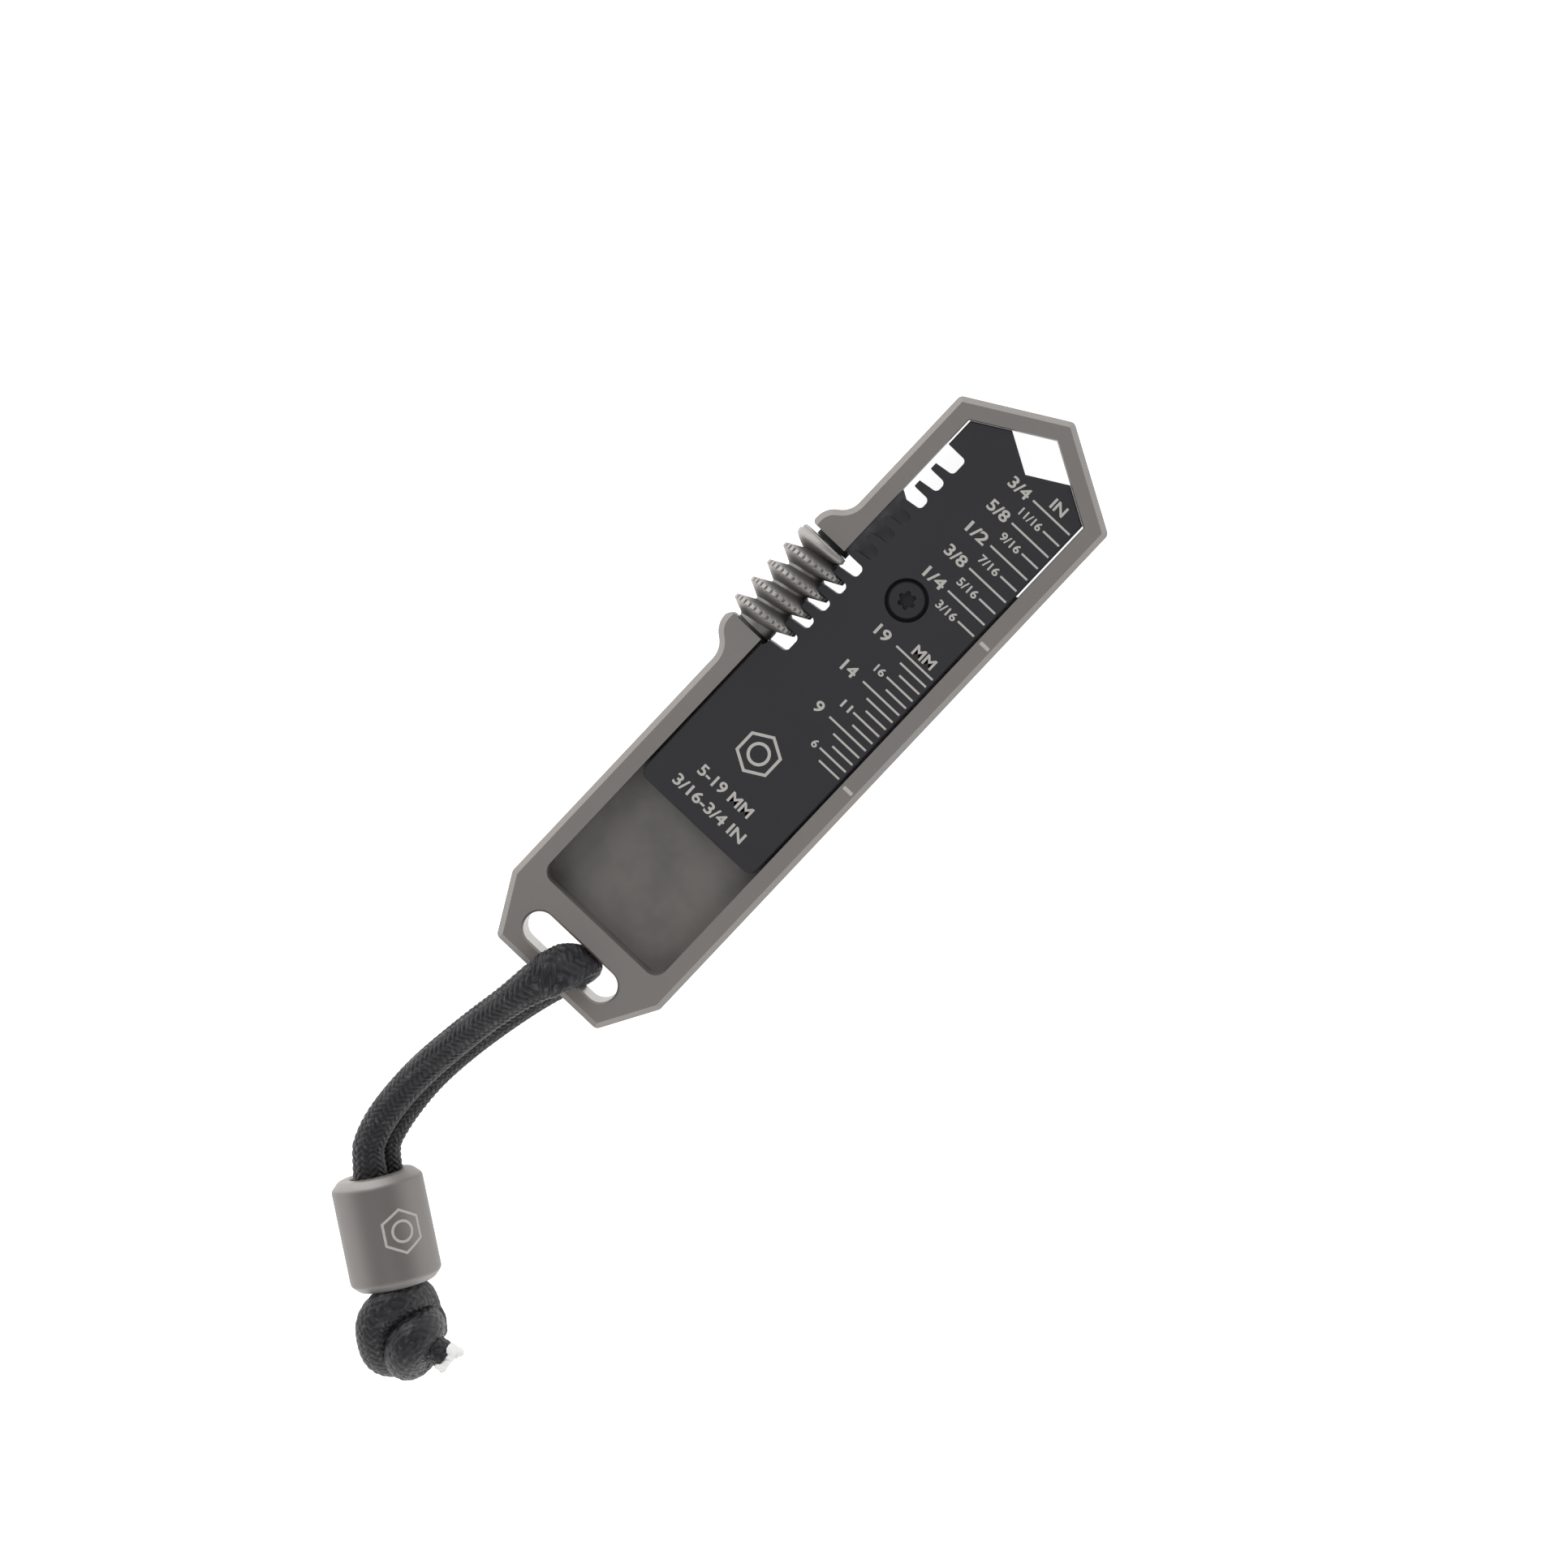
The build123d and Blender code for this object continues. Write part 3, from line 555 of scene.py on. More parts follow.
NOTCH_SIDES = (0.55, 0.8)  # where a notch's side starts and ends: 0 is midway to the next notch, 1 its middle

# In turns past THREAD_START: the ridge grows, the knurl ends, the last turn gets fat, the ridge fades.
FIRST_TURN, KNURL_END, FAT_TURN, LAST_TURN = (-0.8, -0.55), (3.1, 3.25), (3.2, 3.5), (3.83, 3.95)
WHOLE_TURNS = 3  # before the last one
FILL_START = (0.3, 0.55)  # where the valley above the last turn starts to be filled
FAT_WIDTH, CROWN, CROWN_REACH, FILL_DROP = 0.6 * MM, 0.35 * MM, 0.85 * MM, 0.1 * MM
print("worm", round(2 * CREST_RADIUS / MM, 2), "x", round(WORM_LENGTH / MM, 2), "mm")


# %% Helpers: steps, notches, and where the nearest ridge is
def smooth_step(value, low, high):
    """0 below low, 1 above high, and 3 t^2 - 2 t^3 between."""
    t = np.clip((value - low) / (high - low), 0, 1)
    return t * t * (3 - 2 * t)


def notched(turn):
    """1 in the knurl's notches and 0 between them, with smooth sides."""
    return smooth_step(np.abs(np.mod(turn * NOTCHES, 1) * 2 - 1), *NOTCH_SIDES)


def near_ridge(turn, height):
    """Height above the nearest crest, negative below it, and how many turns the ridge has made there."""
    turns = (height - THREAD_START) / PITCH
    run = np.round(turns - turn) + turn
    return (turns - run) * PITCH, run


def run_out(height):
    """Bends the heights near the flat end, so that the last turn comes to lie along it.

    h below BEND, and BEND + room * (1 - exp(-(h - BEND) / room)) above it, where room is what is left.
    """
    room = WORM_HIGH - BEND
    past = np.clip(height - BEND, 0, None)
    return np.where(height < BEND, height, BEND + room * (1 - np.exp(-past / room)))


# %% Helper: the worm's radius
def worm_radius(turn, height):
    """The worm's radius at a turn round its axis and a height along it, before the heights are bent.

    Off the crest's flat, the ridge falls by the distance divided by FLANK, and nowhere below the root. A
    notch takes NOTCH_DEPTH off the crest, and less and less up to NOTCH_REACH from it. The last turn has
    no notches, a flat that is FAT_WIDTH wider below, and a crown that falls by CROWN times (distance /
    CROWN_REACH)^3; the valley above it is filled up. The whole ridge grows over FIRST_TURN and fades over
    LAST_TURN. Last, the hub is the least radius at the low end, and the cone above it and the chamfer at
    the flat end are the largest.
    """
    offset, run = near_ridge(turn, height)
    fat = smooth_step(run, *FAT_TURN)
    half_crest = CREST_FLAT / 2 + FAT_WIDTH * fat * (offset < 0)
    off_crest = np.clip(np.abs(offset) - half_crest, 0, None)
    crown = CROWN * fat * np.clip(np.abs(offset) / CROWN_REACH, 0, 1) ** 3
    ridge = np.maximum(CREST_RADIUS - crown - off_crest / FLANK, ROOT_RADIUS)
    near_crest = np.clip(1 - off_crest / NOTCH_REACH, 0, 1)
    ridge = ridge - NOTCH_DEPTH * notched(turn) * near_crest * (1 - smooth_step(run, *KNURL_END))
    there = smooth_step(run, *FIRST_TURN) * (1 - smooth_step(run, *LAST_TURN))
    ridge = ROOT_RADIUS + (ridge - ROOT_RADIUS) * there
    past_last = height - THREAD_START - PITCH * (WHOLE_TURNS + turn)
    filled = smooth_step(turn, *FILL_START) * (1 - smooth_step(turn + WHOLE_TURNS, *LAST_TURN))
    full = ROOT_RADIUS + (CREST_RADIUS - FILL_DROP - ROOT_RADIUS) * filled
    ridge = np.where(past_last > 0, np.maximum(ridge, full), ridge)
    place = run_out(height)
    up, down = place - WORM_LOW, WORM_HIGH - place
    ridge = np.maximum(ridge, np.where(up < HUB_LENGTH, HUB_RADIUS, 0))
    cone = HUB_RADIUS + np.clip(up - COLLAR, 0, None) * (CREST_RADIUS - ROOT_RADIUS) / RUN_OUT
    return np.minimum(ridge, np.minimum(cone, CREST_RADIUS - WORM_EDGE + down))


# %% Helper: where the worm gets a painted highlight on its crests, and painted shade in valleys and notches
HIGHLIGHT_REACH, FAT_HIGHLIGHT_REACH, HIGHLIGHT_FADE = 0.95 * MM, 1.3 * MM, 0.55 * MM
HIGHLIGHT_LOW, HIGHLIGHT_HIGH = ROOT_RADIUS + 0.6 * MM, CREST_RADIUS - 0.5 * MM
NOTCH_SHADE_REACH, NOTCH_SHADE = (0.25 * MM, 0.45 * MM), 0.75


def rub_share(turn, height, radius):
    """1 where the worm gets a painted highlight, on its crests, and 0 in its valleys, which get painted
    shade.

    A step down from the crest over its reach, times a step up from the valley's radius to the crest's. A
    notch is darker by a set share, as painted shade.
    """
    offset, run = near_ridge(turn, height)
    reach = HIGHLIGHT_REACH + (FAT_HIGHLIGHT_REACH - HIGHLIGHT_REACH) * smooth_step(run, *FAT_TURN)
    share = 1 - smooth_step(np.abs(offset), reach - HIGHLIGHT_FADE, reach)
    share = share * smooth_step(radius, HIGHLIGHT_LOW, HIGHLIGHT_HIGH)
    cut = notched(turn) * (1 - smooth_step(np.abs(offset), *NOTCH_SHADE_REACH)) * (run < FAT_TURN[0])
    return share * (1 - NOTCH_SHADE * cut)


# %% The rows of the worm's grid: where they lie within one pitch, and how high each point is
ROOT_PHASE = (CREST_FLAT / 2 + (CREST_RADIUS - ROOT_RADIUS) * FLANK) / PITCH
CREST_PHASE = CREST_FLAT / 2 / PITCH
POINTS_PER_NOTCH, SPARE_TURNS = 10, 7
half_ridge = np.concatenate([np.linspace(0, CREST_PHASE, 4),
                             np.linspace(CREST_PHASE, 2 * CREST_PHASE, 4)[1:],
                             np.linspace(2 * CREST_PHASE, ROOT_PHASE, 6)[1:]])
phases = np.concatenate([-half_ridge[:0:-1], half_ridge])
first_ridge = np.floor((WORM_LOW - THREAD_START) / PITCH) - 1
ridges = first_ridge + np.arange(int(WORM_LENGTH / PITCH) + SPARE_TURNS)
row_phase = (ridges[:, None] + phases[None, :]).ravel()
turn = np.linspace(0, 1, NOTCHES * POINTS_PER_NOTCH + 1)
height = THREAD_START + (row_phase[:, None] + turn[None, :]) * PITCH
height = np.clip(height, WORM_LOW, None)
print("worm grid:", height.shape)


# %% Helper: a skin whose seams are merged
def close_seams(thing, near=0.0005 * MM, tiny=0.0002 * MM):
    """Merges points that coincide, drops the faces that this empties, and turns the skin outwards."""
    skin = bmesh.new()
    skin.from_mesh(thing.data)
    bmesh.ops.remove_doubles(skin, verts=skin.verts, dist=near)
    bmesh.ops.dissolve_degenerate(skin, edges=skin.edges, dist=tiny)
    bmesh.ops.recalc_face_normals(skin, faces=skin.faces)
    open_edges = sum(not edge.is_manifold for edge in skin.edges)
    skin.to_mesh(thing.data)
    skin.free()
    thing.data.set_sharp_from_angle(angle=SHARP)
    return open_edges


# %% The worm
radius = worm_radius(turn[None, :], height)
# One number for the worm's painted light: a highlight on its crests, shade in its valleys and notches.
worm_painted_light = rub_share(turn[None, :], height, radius)
height = run_out(height)
bore = np.full((2, len(turn)), BORE_RADIUS)
ends = np.repeat([[WORM_HIGH], [WORM_LOW]], len(turn), 1)
radius, height = np.vstack([radius, bore]), np.vstack([height, ends])
angle = 2 * pi * turn[None, :]
worm_grid = np.stack([WORM_X + radius * np.cos(angle), height, -radius * np.sin(angle)], -1)
worm = mesh_object("knurled_worm", worm_grid.reshape(-1, 3),
                   grid_faces(*worm_grid.shape[:2], close_rows=True))
store(worm, "painted_light", np.vstack([worm_painted_light, np.zeros((2, len(turn)))]))
print("worm: open edges", close_seams(worm), "faces", len(worm.data.polygons))

# %% [markdown]
# ## Engraved scales
#
# The plate is marked by laser, which burns the black coating to a pale grey. The ticks are 1.1547 mm apart
# for each millimetre of jaw opening, because the jaw's flanks lie at 60 degrees to the travel. A picture
# on the plate could show them, but blurs close up. So the marks are thin inlays that stand a hundredth of
# a millimetre out of the plate. Only plain numbers and units are marked, and a plain nut fills the place
# of a badge.

# %% Helpers: flat inlays, as skins
PLATE_TOP = 2.8 * MM
PROUD, SUNK = 0.012 * MM, 0.05 * MM


def ring_inlay(outer, inner):
    """A flat ring in the plate between two closed outlines, from SUNK below its face to PROUD above it."""
    low, high = PLATE_TOP - SUNK, PLATE_TOP + PROUD
    return closed_ring([np.column_stack([line, np.full(len(line), level)])
                        for line, level in ((outer, low), (outer, high), (inner, high), (inner, low))])


def bar_inlay(left, right, middle, width, top=PLATE_TOP):
    """A rectangular block from left to right in mm, as thick as ring_inlay's."""
    x, y = np.array([left, right, right, left]) * MM, (middle + np.array([-1, -1, 1, 1]) * width / 2) * MM
    points = np.vstack([np.column_stack([x, y, np.full(4, level)]) for level in (top - SUNK, top + PROUD)])
    faces = [[3, 2, 1, 0], [4, 5, 6, 7]] + [[k, (k + 1) % 4, 4 + (k + 1) % 4, 4 + k] for k in range(4)]
    return outward(points, faces)


def text_inlay(words, left, right, middle, height):
    """Words made a mesh and fitted to a width and height in mm, standing on the plate."""
    data = bpy.data.curves.new("words", "FONT")
    data.body = words
    data.extrude = 0.5
    data.offset = 0.022  # a little bolder than the plain letters
    data.resolution_u = 4
    text = bpy.data.objects.new("words", data)
    mesh = bpy.data.meshes.new_from_object(text)
    points = np.empty(len(mesh.vertices) * 3)
    mesh.vertices.foreach_get("co", points)
    points = points.reshape(-1, 3)
    faces = [list(face.vertices) for face in mesh.polygons]
    low, high = points.min(0), points.max(0)
    share = (points - low) / (high - low)
    place = np.array([left, middle - height / 2, 0]) * MM + [0, 0, PLATE_TOP - SUNK]
    points = place + share * [(right - left) * MM, height * MM, SUNK + PROUD]
    bpy.data.objects.remove(text)
    bpy.data.meshes.remove(mesh)
    bpy.data.curves.remove(data)
    return outward(points, faces)


# %% The scales; all sizes in mm
TICK_PER_MM = 1 / cos(radians(30))
INCH = 25.4
JAW_SHUT = INCH * 3 / 16
INCH_INDEX, MM_INDEX, TICK_END = 60.56, 37.0, 8.7
TICK_WIDTH = 0.25
TALL, UNIT, SMALL, SMALLEST = 1.5, 1.4, 1.1, 1.05  # heights of the lettering
plate_marks = []
for sixteenths in range(3, 13):
    y = INCH_INDEX + (INCH * sixteenths / 16 - JAW_SHUT) * TICK_PER_MM
    even = sixteenths % 2 == 0
    plate_marks.append(bar_inlay(2.75 if even else 6.1, TICK_END, y, TICK_WIDTH))
    if even:
        whole = {12: "3/4", 10: "5/8", 8: "1/2", 6: "3/8", 4: "1/4"}[sixteenths]
        plate_marks.append(text_inlay(whole, -0.85, 2.1, y, TALL))
    else:
        left = 2.5 if sixteenths == 11 else 2.8
        plate_marks.append(text_inlay(f"{sixteenths}/16", left, 5.7, y, SMALL))
for millimetres in range(5, 20):
    y = MM_INDEX + (millimetres - JAW_SHUT) * TICK_PER_MM
    fives = millimetres in (9, 14, 19)
    evens = millimetres in (6, 8, 11, 13, 16, 18)
    plate_marks.append(bar_inlay(2.8 if fives else 4.5 if evens else 5.45, TICK_END, y, TICK_WIDTH))
    if fives:
        left = -0.35 + 0.9 * (millimetres == 9)
        plate_marks.append(text_inlay(str(millimetres), left, 1.65, y, TALL))
    if millimetres in (6, 11, 16):
        left = 2.75 + 0.6 * (millimetres == 6)
        plate_marks.append(text_inlay(str(millimetres), left, 4.1, y, SMALLEST))
plate_marks.append(text_inlay("IN", 4.6, 6.6, 78.5, UNIT))
plate_marks.append(text_inlay("MM", 4.6, 7.7, 54.7, UNIT))
print("marks on the scales:", len(plate_marks))


# %% A plain nut, and the jaw's range
def polygon(count, size, middle, first=0.0):
    """Corners of a regular polygon, or of a circle when count is high; sizes in mm."""
    angle = first + 2 * pi * np.arange(count) / count
    return (np.array(middle) + size * np.column_stack([np.cos(angle), np.sin(angle)])) * MM


NUT_MIDDLE, NUT_TURN = (-0.25, 32.9), pi / 6
for count, outer, inner in ((6, 2.85, 2.43), (48, 1.45, 1.07)):
    plate_marks.append(ring_inlay(*(polygon(count, size, NUT_MIDDLE, NUT_TURN) for size in (outer, inner))))
plate_marks.append(text_inlay("5-19 MM", -4.2, 4.0, 27.0, TALL))
plate_marks.append(text_inlay("3/16-3/4 IN", -5.6, 5.4, 24.2, TALL))
scale_marks = mesh_object("scale_marks", *joined(plate_marks), smooth=False)
print("scale marks:", len(plate_marks), "inlays")

# %% The two index marks on the frame's rail
index_marks = mesh_object("index_marks", *joined([
    bar_inlay(9.75, 11.1, index, 0.45, FRAME_TOP) for index in (INCH_INDEX, MM_INDEX)]), smooth=False)
print("index marks at", INCH_INDEX, "and", MM_INDEX, "mm")


# %% A plain nut on the bead
def on_bead(outline, height):
    """Bends a flat outline (across, along) round the bead's upper side at a height above its skin."""
    angle = outline[:, :1] / BEAD_RADIUS
    lift = BEAD_RADIUS + height
    return (np.asarray(BEAD_CENTRE) + np.sin(angle) * lift * np.asarray(BEAD_SIDEWAYS)
            + np.cos(angle) * lift * np.array([0, 0, 1.0]) + outline[:, 1:] * np.asarray(BEAD_WAY))


def dense(outline, steps=12):
    """The same closed outline with steps points on each side, so that it can bend."""
    t = np.linspace(0, 1, steps, endpoint=False)[None, :, None]
    return (outline[:, None] * (1 - t) + np.roll(outline, -1, 0)[:, None] * t).reshape(-1, 2)


BADGE_MIDDLE = (2.87, -0.05)
hexagon = [dense(polygon(6, size, BADGE_MIDDLE, NUT_TURN)) for size in (2.8, 2.45)]
hole = [polygon(48, size, BADGE_MIDDLE) for size in (1.4, 1.08)]
bead_mark = mesh_object("bead_mark", *joined([
    closed_ring([on_bead(outer, -SUNK), on_bead(outer, PROUD),
                 on_bead(inner, PROUD), on_bead(inner, -SUNK)])
    for outer, inner in (hexagon, hole)]), smooth=False)
print("bead mark:", len(bead_mark.data.polygons), "faces")

# %% [markdown]
# ## Materials
#
# Each material is named for the real one and how its surface was made. Colours are written as sRGB hex
# values, and one function turns them to the linear values that Blender works with. One small function adds
# a node with its settings and links. The patterns have real sizes, so they are given in millimetres too.

# %% Helpers: colour, nodes and materials
def linear(code):
    """An sRGB hex value as linear red, green, blue and alpha."""
    parts = [int(code[k:k + 2], 16) / 255 for k in (0, 2, 4)]
    return (*[c / 12.92 if c <= 0.04045 else ((c + 0.055) / 1.055) ** 2.4 for c in parts], 1.0)


def add(tree, kind, inputs=(), **settings):
    """Adds one node. settings are its properties; inputs pairs a socket with a value or a node's output."""
    made = tree.nodes.new("ShaderNode" + kind)
    for name, value in settings.items():
        setattr(made, name, value)
    for name, value in dict(inputs).items():
        if isinstance(value, bpy.types.NodeSocket):
            tree.links.new(value, made.inputs[name])
        else:
            made.inputs[name].default_value = value
    return made


def new_material(name, **sockets):
    """A material with its Principled shader's sockets set; returns it and its tree."""
    material = bpy.data.materials.new(name)
    material.use_nodes = True
    for socket, value in sockets.items():
        material.node_tree.nodes["Principled BSDF"].inputs[socket.replace("_", " ")].default_value = value
    return material, material.node_tree


def connect(tree, **outputs):
    """Links nodes' outputs to sockets of the tree's Principled shader."""
    for socket, output in outputs.items():
        tree.links.new(output, tree.nodes["Principled BSDF"].inputs[socket.replace("_", " ")])


def give(thing, material):
    """Puts a material on a new piece, or on a CAD node's own slots."""
    if thing.material_slots:
        for place in thing.material_slots:
            place.material = material
    else:
        thing.data.materials.append(material)


print("the hex value 808080 is", round(linear("808080")[0], 3), "in linear light")


# %% Helpers: two things that most surfaces have
def clouded(tree, size, detail, dark, light):
    """A colour that drifts between two tones in soft clouds of a given size."""
    place = add(tree, "TexCoord").outputs["Object"]
    clouds = add(tree, "TexNoise", {"Vector": place, "Scale": 1 / size, "Detail": detail}).outputs["Fac"]
    tone = add(tree, "MixRGB", {"Fac": clouds, "Color1": linear(dark), "Color2": linear(light)})
    return tone.outputs["Color"]


def grained(tree, size, strength, depth):
    """Fine grain of a given size and depth, as a bump."""
    place = add(tree, "TexCoord").outputs["Object"]
    grain = add(tree, "TexNoise", {"Vector": place, "Scale": 1 / size, "Detail": 2.0}).outputs["Fac"]
    bump = add(tree, "Bump", {"Height": grain, "Strength": strength, "Distance": depth})
    return bump.outputs["Normal"]


# %% [markdown]
# ## Titanium
#
# Titanium is a warm grey metal, darker than steel. Glass-bead blasting leaves pits of about a tenth of a
# millimetre, which scatter its reflection, so it looks soft and even. The pits are drawn at 0.16 to 0.2
# mm, so that they show at all. It isn't a full metal here, because its oxide and its pits scatter part of
# the light as paint does. The worm's crests and the bead's chamfers get a painted highlight, and the worm's
# valleys and notches get painted shade: the mesh stores that as a number at each point, and the material
# reads it.

# %% Titanium
def titanium(name, dark, light, grain):
    """Grey metal: two tones in slow clouds, and blasting grain as a bump."""
    material, tree = new_material(name, Metallic=0.75, Roughness=0.5)
    tone = clouded(tree, 14 * MM, 3.0, dark, light)
    connect(tree, Base_Color=tone, Normal=grained(tree, grain, 0.35, 0.03 * MM))
    return material, tree, tone


def pale_where_rubbed(tree, valley, crest):
    """Mixes in one colour where the stored number is 0 and another where it is 1: a painted highlight at 1,
    and on the worm painted shade at 0.
    """
    share = add(tree, "Attribute", attribute_name="painted_light").outputs["Fac"]
    mixed = add(tree, "MixRGB", {"Fac": share, "Color1": valley, "Color2": crest})
    connect(tree, Base_Color=mixed.outputs["Color"])


tumbled, tree, tone = titanium("titanium_turned_tumbled", "74706e", "7c7876", 0.2 * MM)
# The bead's chamfers are painted paler, as a painted highlight.
pale_where_rubbed(tree, tone, linear("95918e"))
print("bead material:", tumbled.name)

# %% [markdown]
# ## The frame's titanium
#
# The frame is blasted all over, and then its pocket is cut. The pocket's darker tone is partly the cut
# and its smudges, and partly painted shade that grows down its walls. The floor under the plate is painted
# paler, as painted light, and the slot's wall is smoother and painted paler, as a painted reflection. The
# frame is one piece with one material, so these places are picked by position: a share that is 1 inside
# a box or near a line and 0 elsewhere.

# %% Titanium of the frame: the pocket
POCKET_SIDE, POCKET_END = 9.5 * MM, 4.7 * MM
POCKET_TOP, POCKET_DEEP = 2.7 * MM, -0.6 * MM
PAINTED_LIGHT_UNDER_PLATE = (30 * MM, 45 * MM)  # where the floor, seen only in gaps beside the plate, takes a paler tone
blasted, tree, tone = titanium("titanium_bead_blasted", "837f7c", "8b8784", 0.16 * MM)
place = add(tree, "TexCoord").outputs["Object"]
across = add(tree, "SeparateXYZ", {"Vector": place})
sideways = add(tree, "Math", {0: across.outputs["X"]}, operation="ABSOLUTE").outputs[0]
inside = add(tree, "MapRange", {"Value": sideways, "From Min": POCKET_SIDE,
                                "From Max": POCKET_SIDE + 0.1 * MM, "To Min": 1.0, "To Max": 0.0})
above_end = add(tree, "MapRange", {"Value": across.outputs["Y"], "From Min": POCKET_END,
                                   "From Max": POCKET_END + 0.2 * MM})
# Painted shade: the pocket's darker tone takes over more and more from the top face down to the floor.
depth = add(tree, "MapRange", {"Value": across.outputs["Z"], "From Min": POCKET_TOP,
                               "From Max": POCKET_DEEP})
pocket = add(tree, "Math", {0: inside.outputs[0], 1: above_end.outputs[0]}, operation="MULTIPLY")
pocket = add(tree, "Math", {0: pocket.outputs[0], 1: depth.outputs[0]}, operation="MULTIPLY")
smudge = add(tree, "TexNoise", {"Vector": place, "Scale": 1 / (9 * MM), "Detail": 3.0, "Roughness": 0.55})
smudge = add(tree, "MapRange", {"Value": smudge.outputs["Fac"], "From Min": 0.42, "From Max": 0.75})
cut_shade_and_light_tone = add(tree, "MixRGB", {"Fac": smudge.outputs[0], "Color1": linear("7f7c79"),
                                "Color2": linear("696765")})
# Painted light: further along, the floor seen in gaps beside the plate is painted paler.
painted_light_under_plate = add(tree, "MapRange", {"Value": across.outputs["Y"], "From Min": PAINTED_LIGHT_UNDER_PLATE[0],
                                     "From Max": PAINTED_LIGHT_UNDER_PLATE[1]})
cut_shade_and_light_tone = add(tree, "MixRGB", {"Fac": painted_light_under_plate.outputs[0], "Color1": cut_shade_and_light_tone.outputs["Color"],
                                "Color2": linear("98989d")})
pocket_tone = add(tree, "MixRGB", {"Fac": pocket.outputs[0], "Color1": tone,
                                   "Color2": cut_shade_and_light_tone.outputs["Color"]})
print("pocket between", -POCKET_SIDE / MM, "and", POCKET_SIDE / MM, "mm")

# %% Titanium of the frame: the slot's wall, which is the slot's radius away from its middle line
SLOT_HALF, SLOT_RADIUS = 5.0 * MM, 1.975 * MM
WALL_REACH = (SLOT_RADIUS + 0.005 * MM, SLOT_RADIUS + 0.015 * MM)
past_middle = add(tree, "Math", {0: sideways, 1: SLOT_HALF}, operation="SUBTRACT")
past_middle = add(tree, "Math", {0: past_middle.outputs[0], 1: 0.0}, operation="MAXIMUM")
from_line = add(tree, "CombineXYZ", {"X": past_middle.outputs[0], "Y": across.outputs["Y"]})
from_line = add(tree, "VectorMath", {0: from_line.outputs[0]}, operation="LENGTH")
slot_wall = add(tree, "MapRange", {"Value": from_line.outputs["Value"], "From Min": WALL_REACH[0],
                                   "From Max": WALL_REACH[1], "To Min": 1.0, "To Max": 0.0})
# The slot's wall is painted paler, as a painted reflection of the white table; its lower roughness is its
# smoother cut.
painted_wall_reflection = add(tree, "MixRGB", {"Fac": slot_wall.outputs[0], "Color1": pocket_tone.outputs["Color"],
                                 "Color2": linear("aeaba7")})
wall_rough = add(tree, "MapRange", {"Value": slot_wall.outputs[0], "To Min": 0.5, "To Max": 0.3})
connect(tree, Base_Color=painted_wall_reflection.outputs["Color"], Roughness=wall_rough.outputs[0])
print("frame material:", blasted.name, "with", len(tree.nodes), "nodes")

# %% Titanium of the worm: painted shade in its valleys, a painted highlight on its crests
knurled, tree, tone = titanium("titanium_knurled", "989592", "a4a19e", 0.16 * MM)
# The valleys take a darker tone as painted shade, and the crests a paler one as a painted highlight.
pale_where_rubbed(tree, linear("7d7b79"), tone)
print("worm material:", knurled.name)

# %% [markdown]
# ## Black steel and its marks
#
# The plate is hardened steel under a hard carbon coating. It is thin and even, so the steel's ground
# surface shows through as a soft shine on near-black. The screw is black oxide, which is a little
# glossier. The laser burns the coating off in small dots, so a mark is a matt, speckled pale grey.

# %% Coated steel, black screw, marks
plate_steel, tree = new_material("steel_black_carbon_coated", Metallic=0.35, Roughness=0.42)
connect(tree, Base_Color=clouded(tree, 9 * MM, 4.0, "2c2c2f", "323235"),
        Normal=grained(tree, 0.12 * MM, 0.25, 0.02 * MM))
screw_black, _ = new_material("steel_black_oxide", Metallic=0.4, Roughness=0.38,
                              Base_Color=linear("303034"))
laser_grey, tree = new_material("laser_marked_grey", Metallic=0.1, Roughness=0.6)
connect(tree, Base_Color=clouded(tree, 0.2 * MM, 2.0, "a09d99", "bbb8b3"))
print("black steel:", plate_steel.name, screw_black.name)

# %% [markdown]
# ## Small parts
#
# The pins, spring and nut are ground stainless steel, a clean bright metal. The ring is moulded rubber,
# which is matt, and the washer is turned acetal, a black plastic with a slight shine. They are small and
# mostly hidden, so one even colour is enough for each.

# %% Ground steel, rubber and acetal
ground_steel, _ = new_material("steel_ground", Metallic=1.0, Roughness=0.3, Base_Color=linear("8d8d8f"))
ring_rubber, _ = new_material("rubber_moulded_black", Roughness=0.75, Base_Color=linear("1c1c1d"))
washer_plastic, _ = new_material("acetal_turned_black", Roughness=0.5, Base_Color=linear("1f1f20"))
print("small parts:", ground_steel.name, ring_rubber.name, washer_plastic.name)

# %% [markdown]
# ## Braided nylon
#
# The sheath is dyed black nylon. Its floats catch the light on top, and the colour follows the braid's
# height, which the mesh stores: darker where the floats dive, as painted shade. Flecks of a millimetre make
# some floats paler, as painted glints. Fine fibres break up the shine, and a little sheen lifts the edges.
# The core is undyed, so white.

# %% Braided nylon
nylon, tree = new_material("nylon_braided_black", Roughness=0.42, Specular_IOR_Level=0.36, Sheen_Weight=0.2,
                           Sheen_Roughness=0.3)
place = add(tree, "TexCoord").outputs["Object"]
braid = add(tree, "Attribute", attribute_name="braid").outputs["Fac"]
# Painted shade: the colour is darker where the stored braid height is low, where the floats dive.
raised = add(tree, "MapRange", {"Value": braid, "From Min": 0.3, "From Max": 0.9})
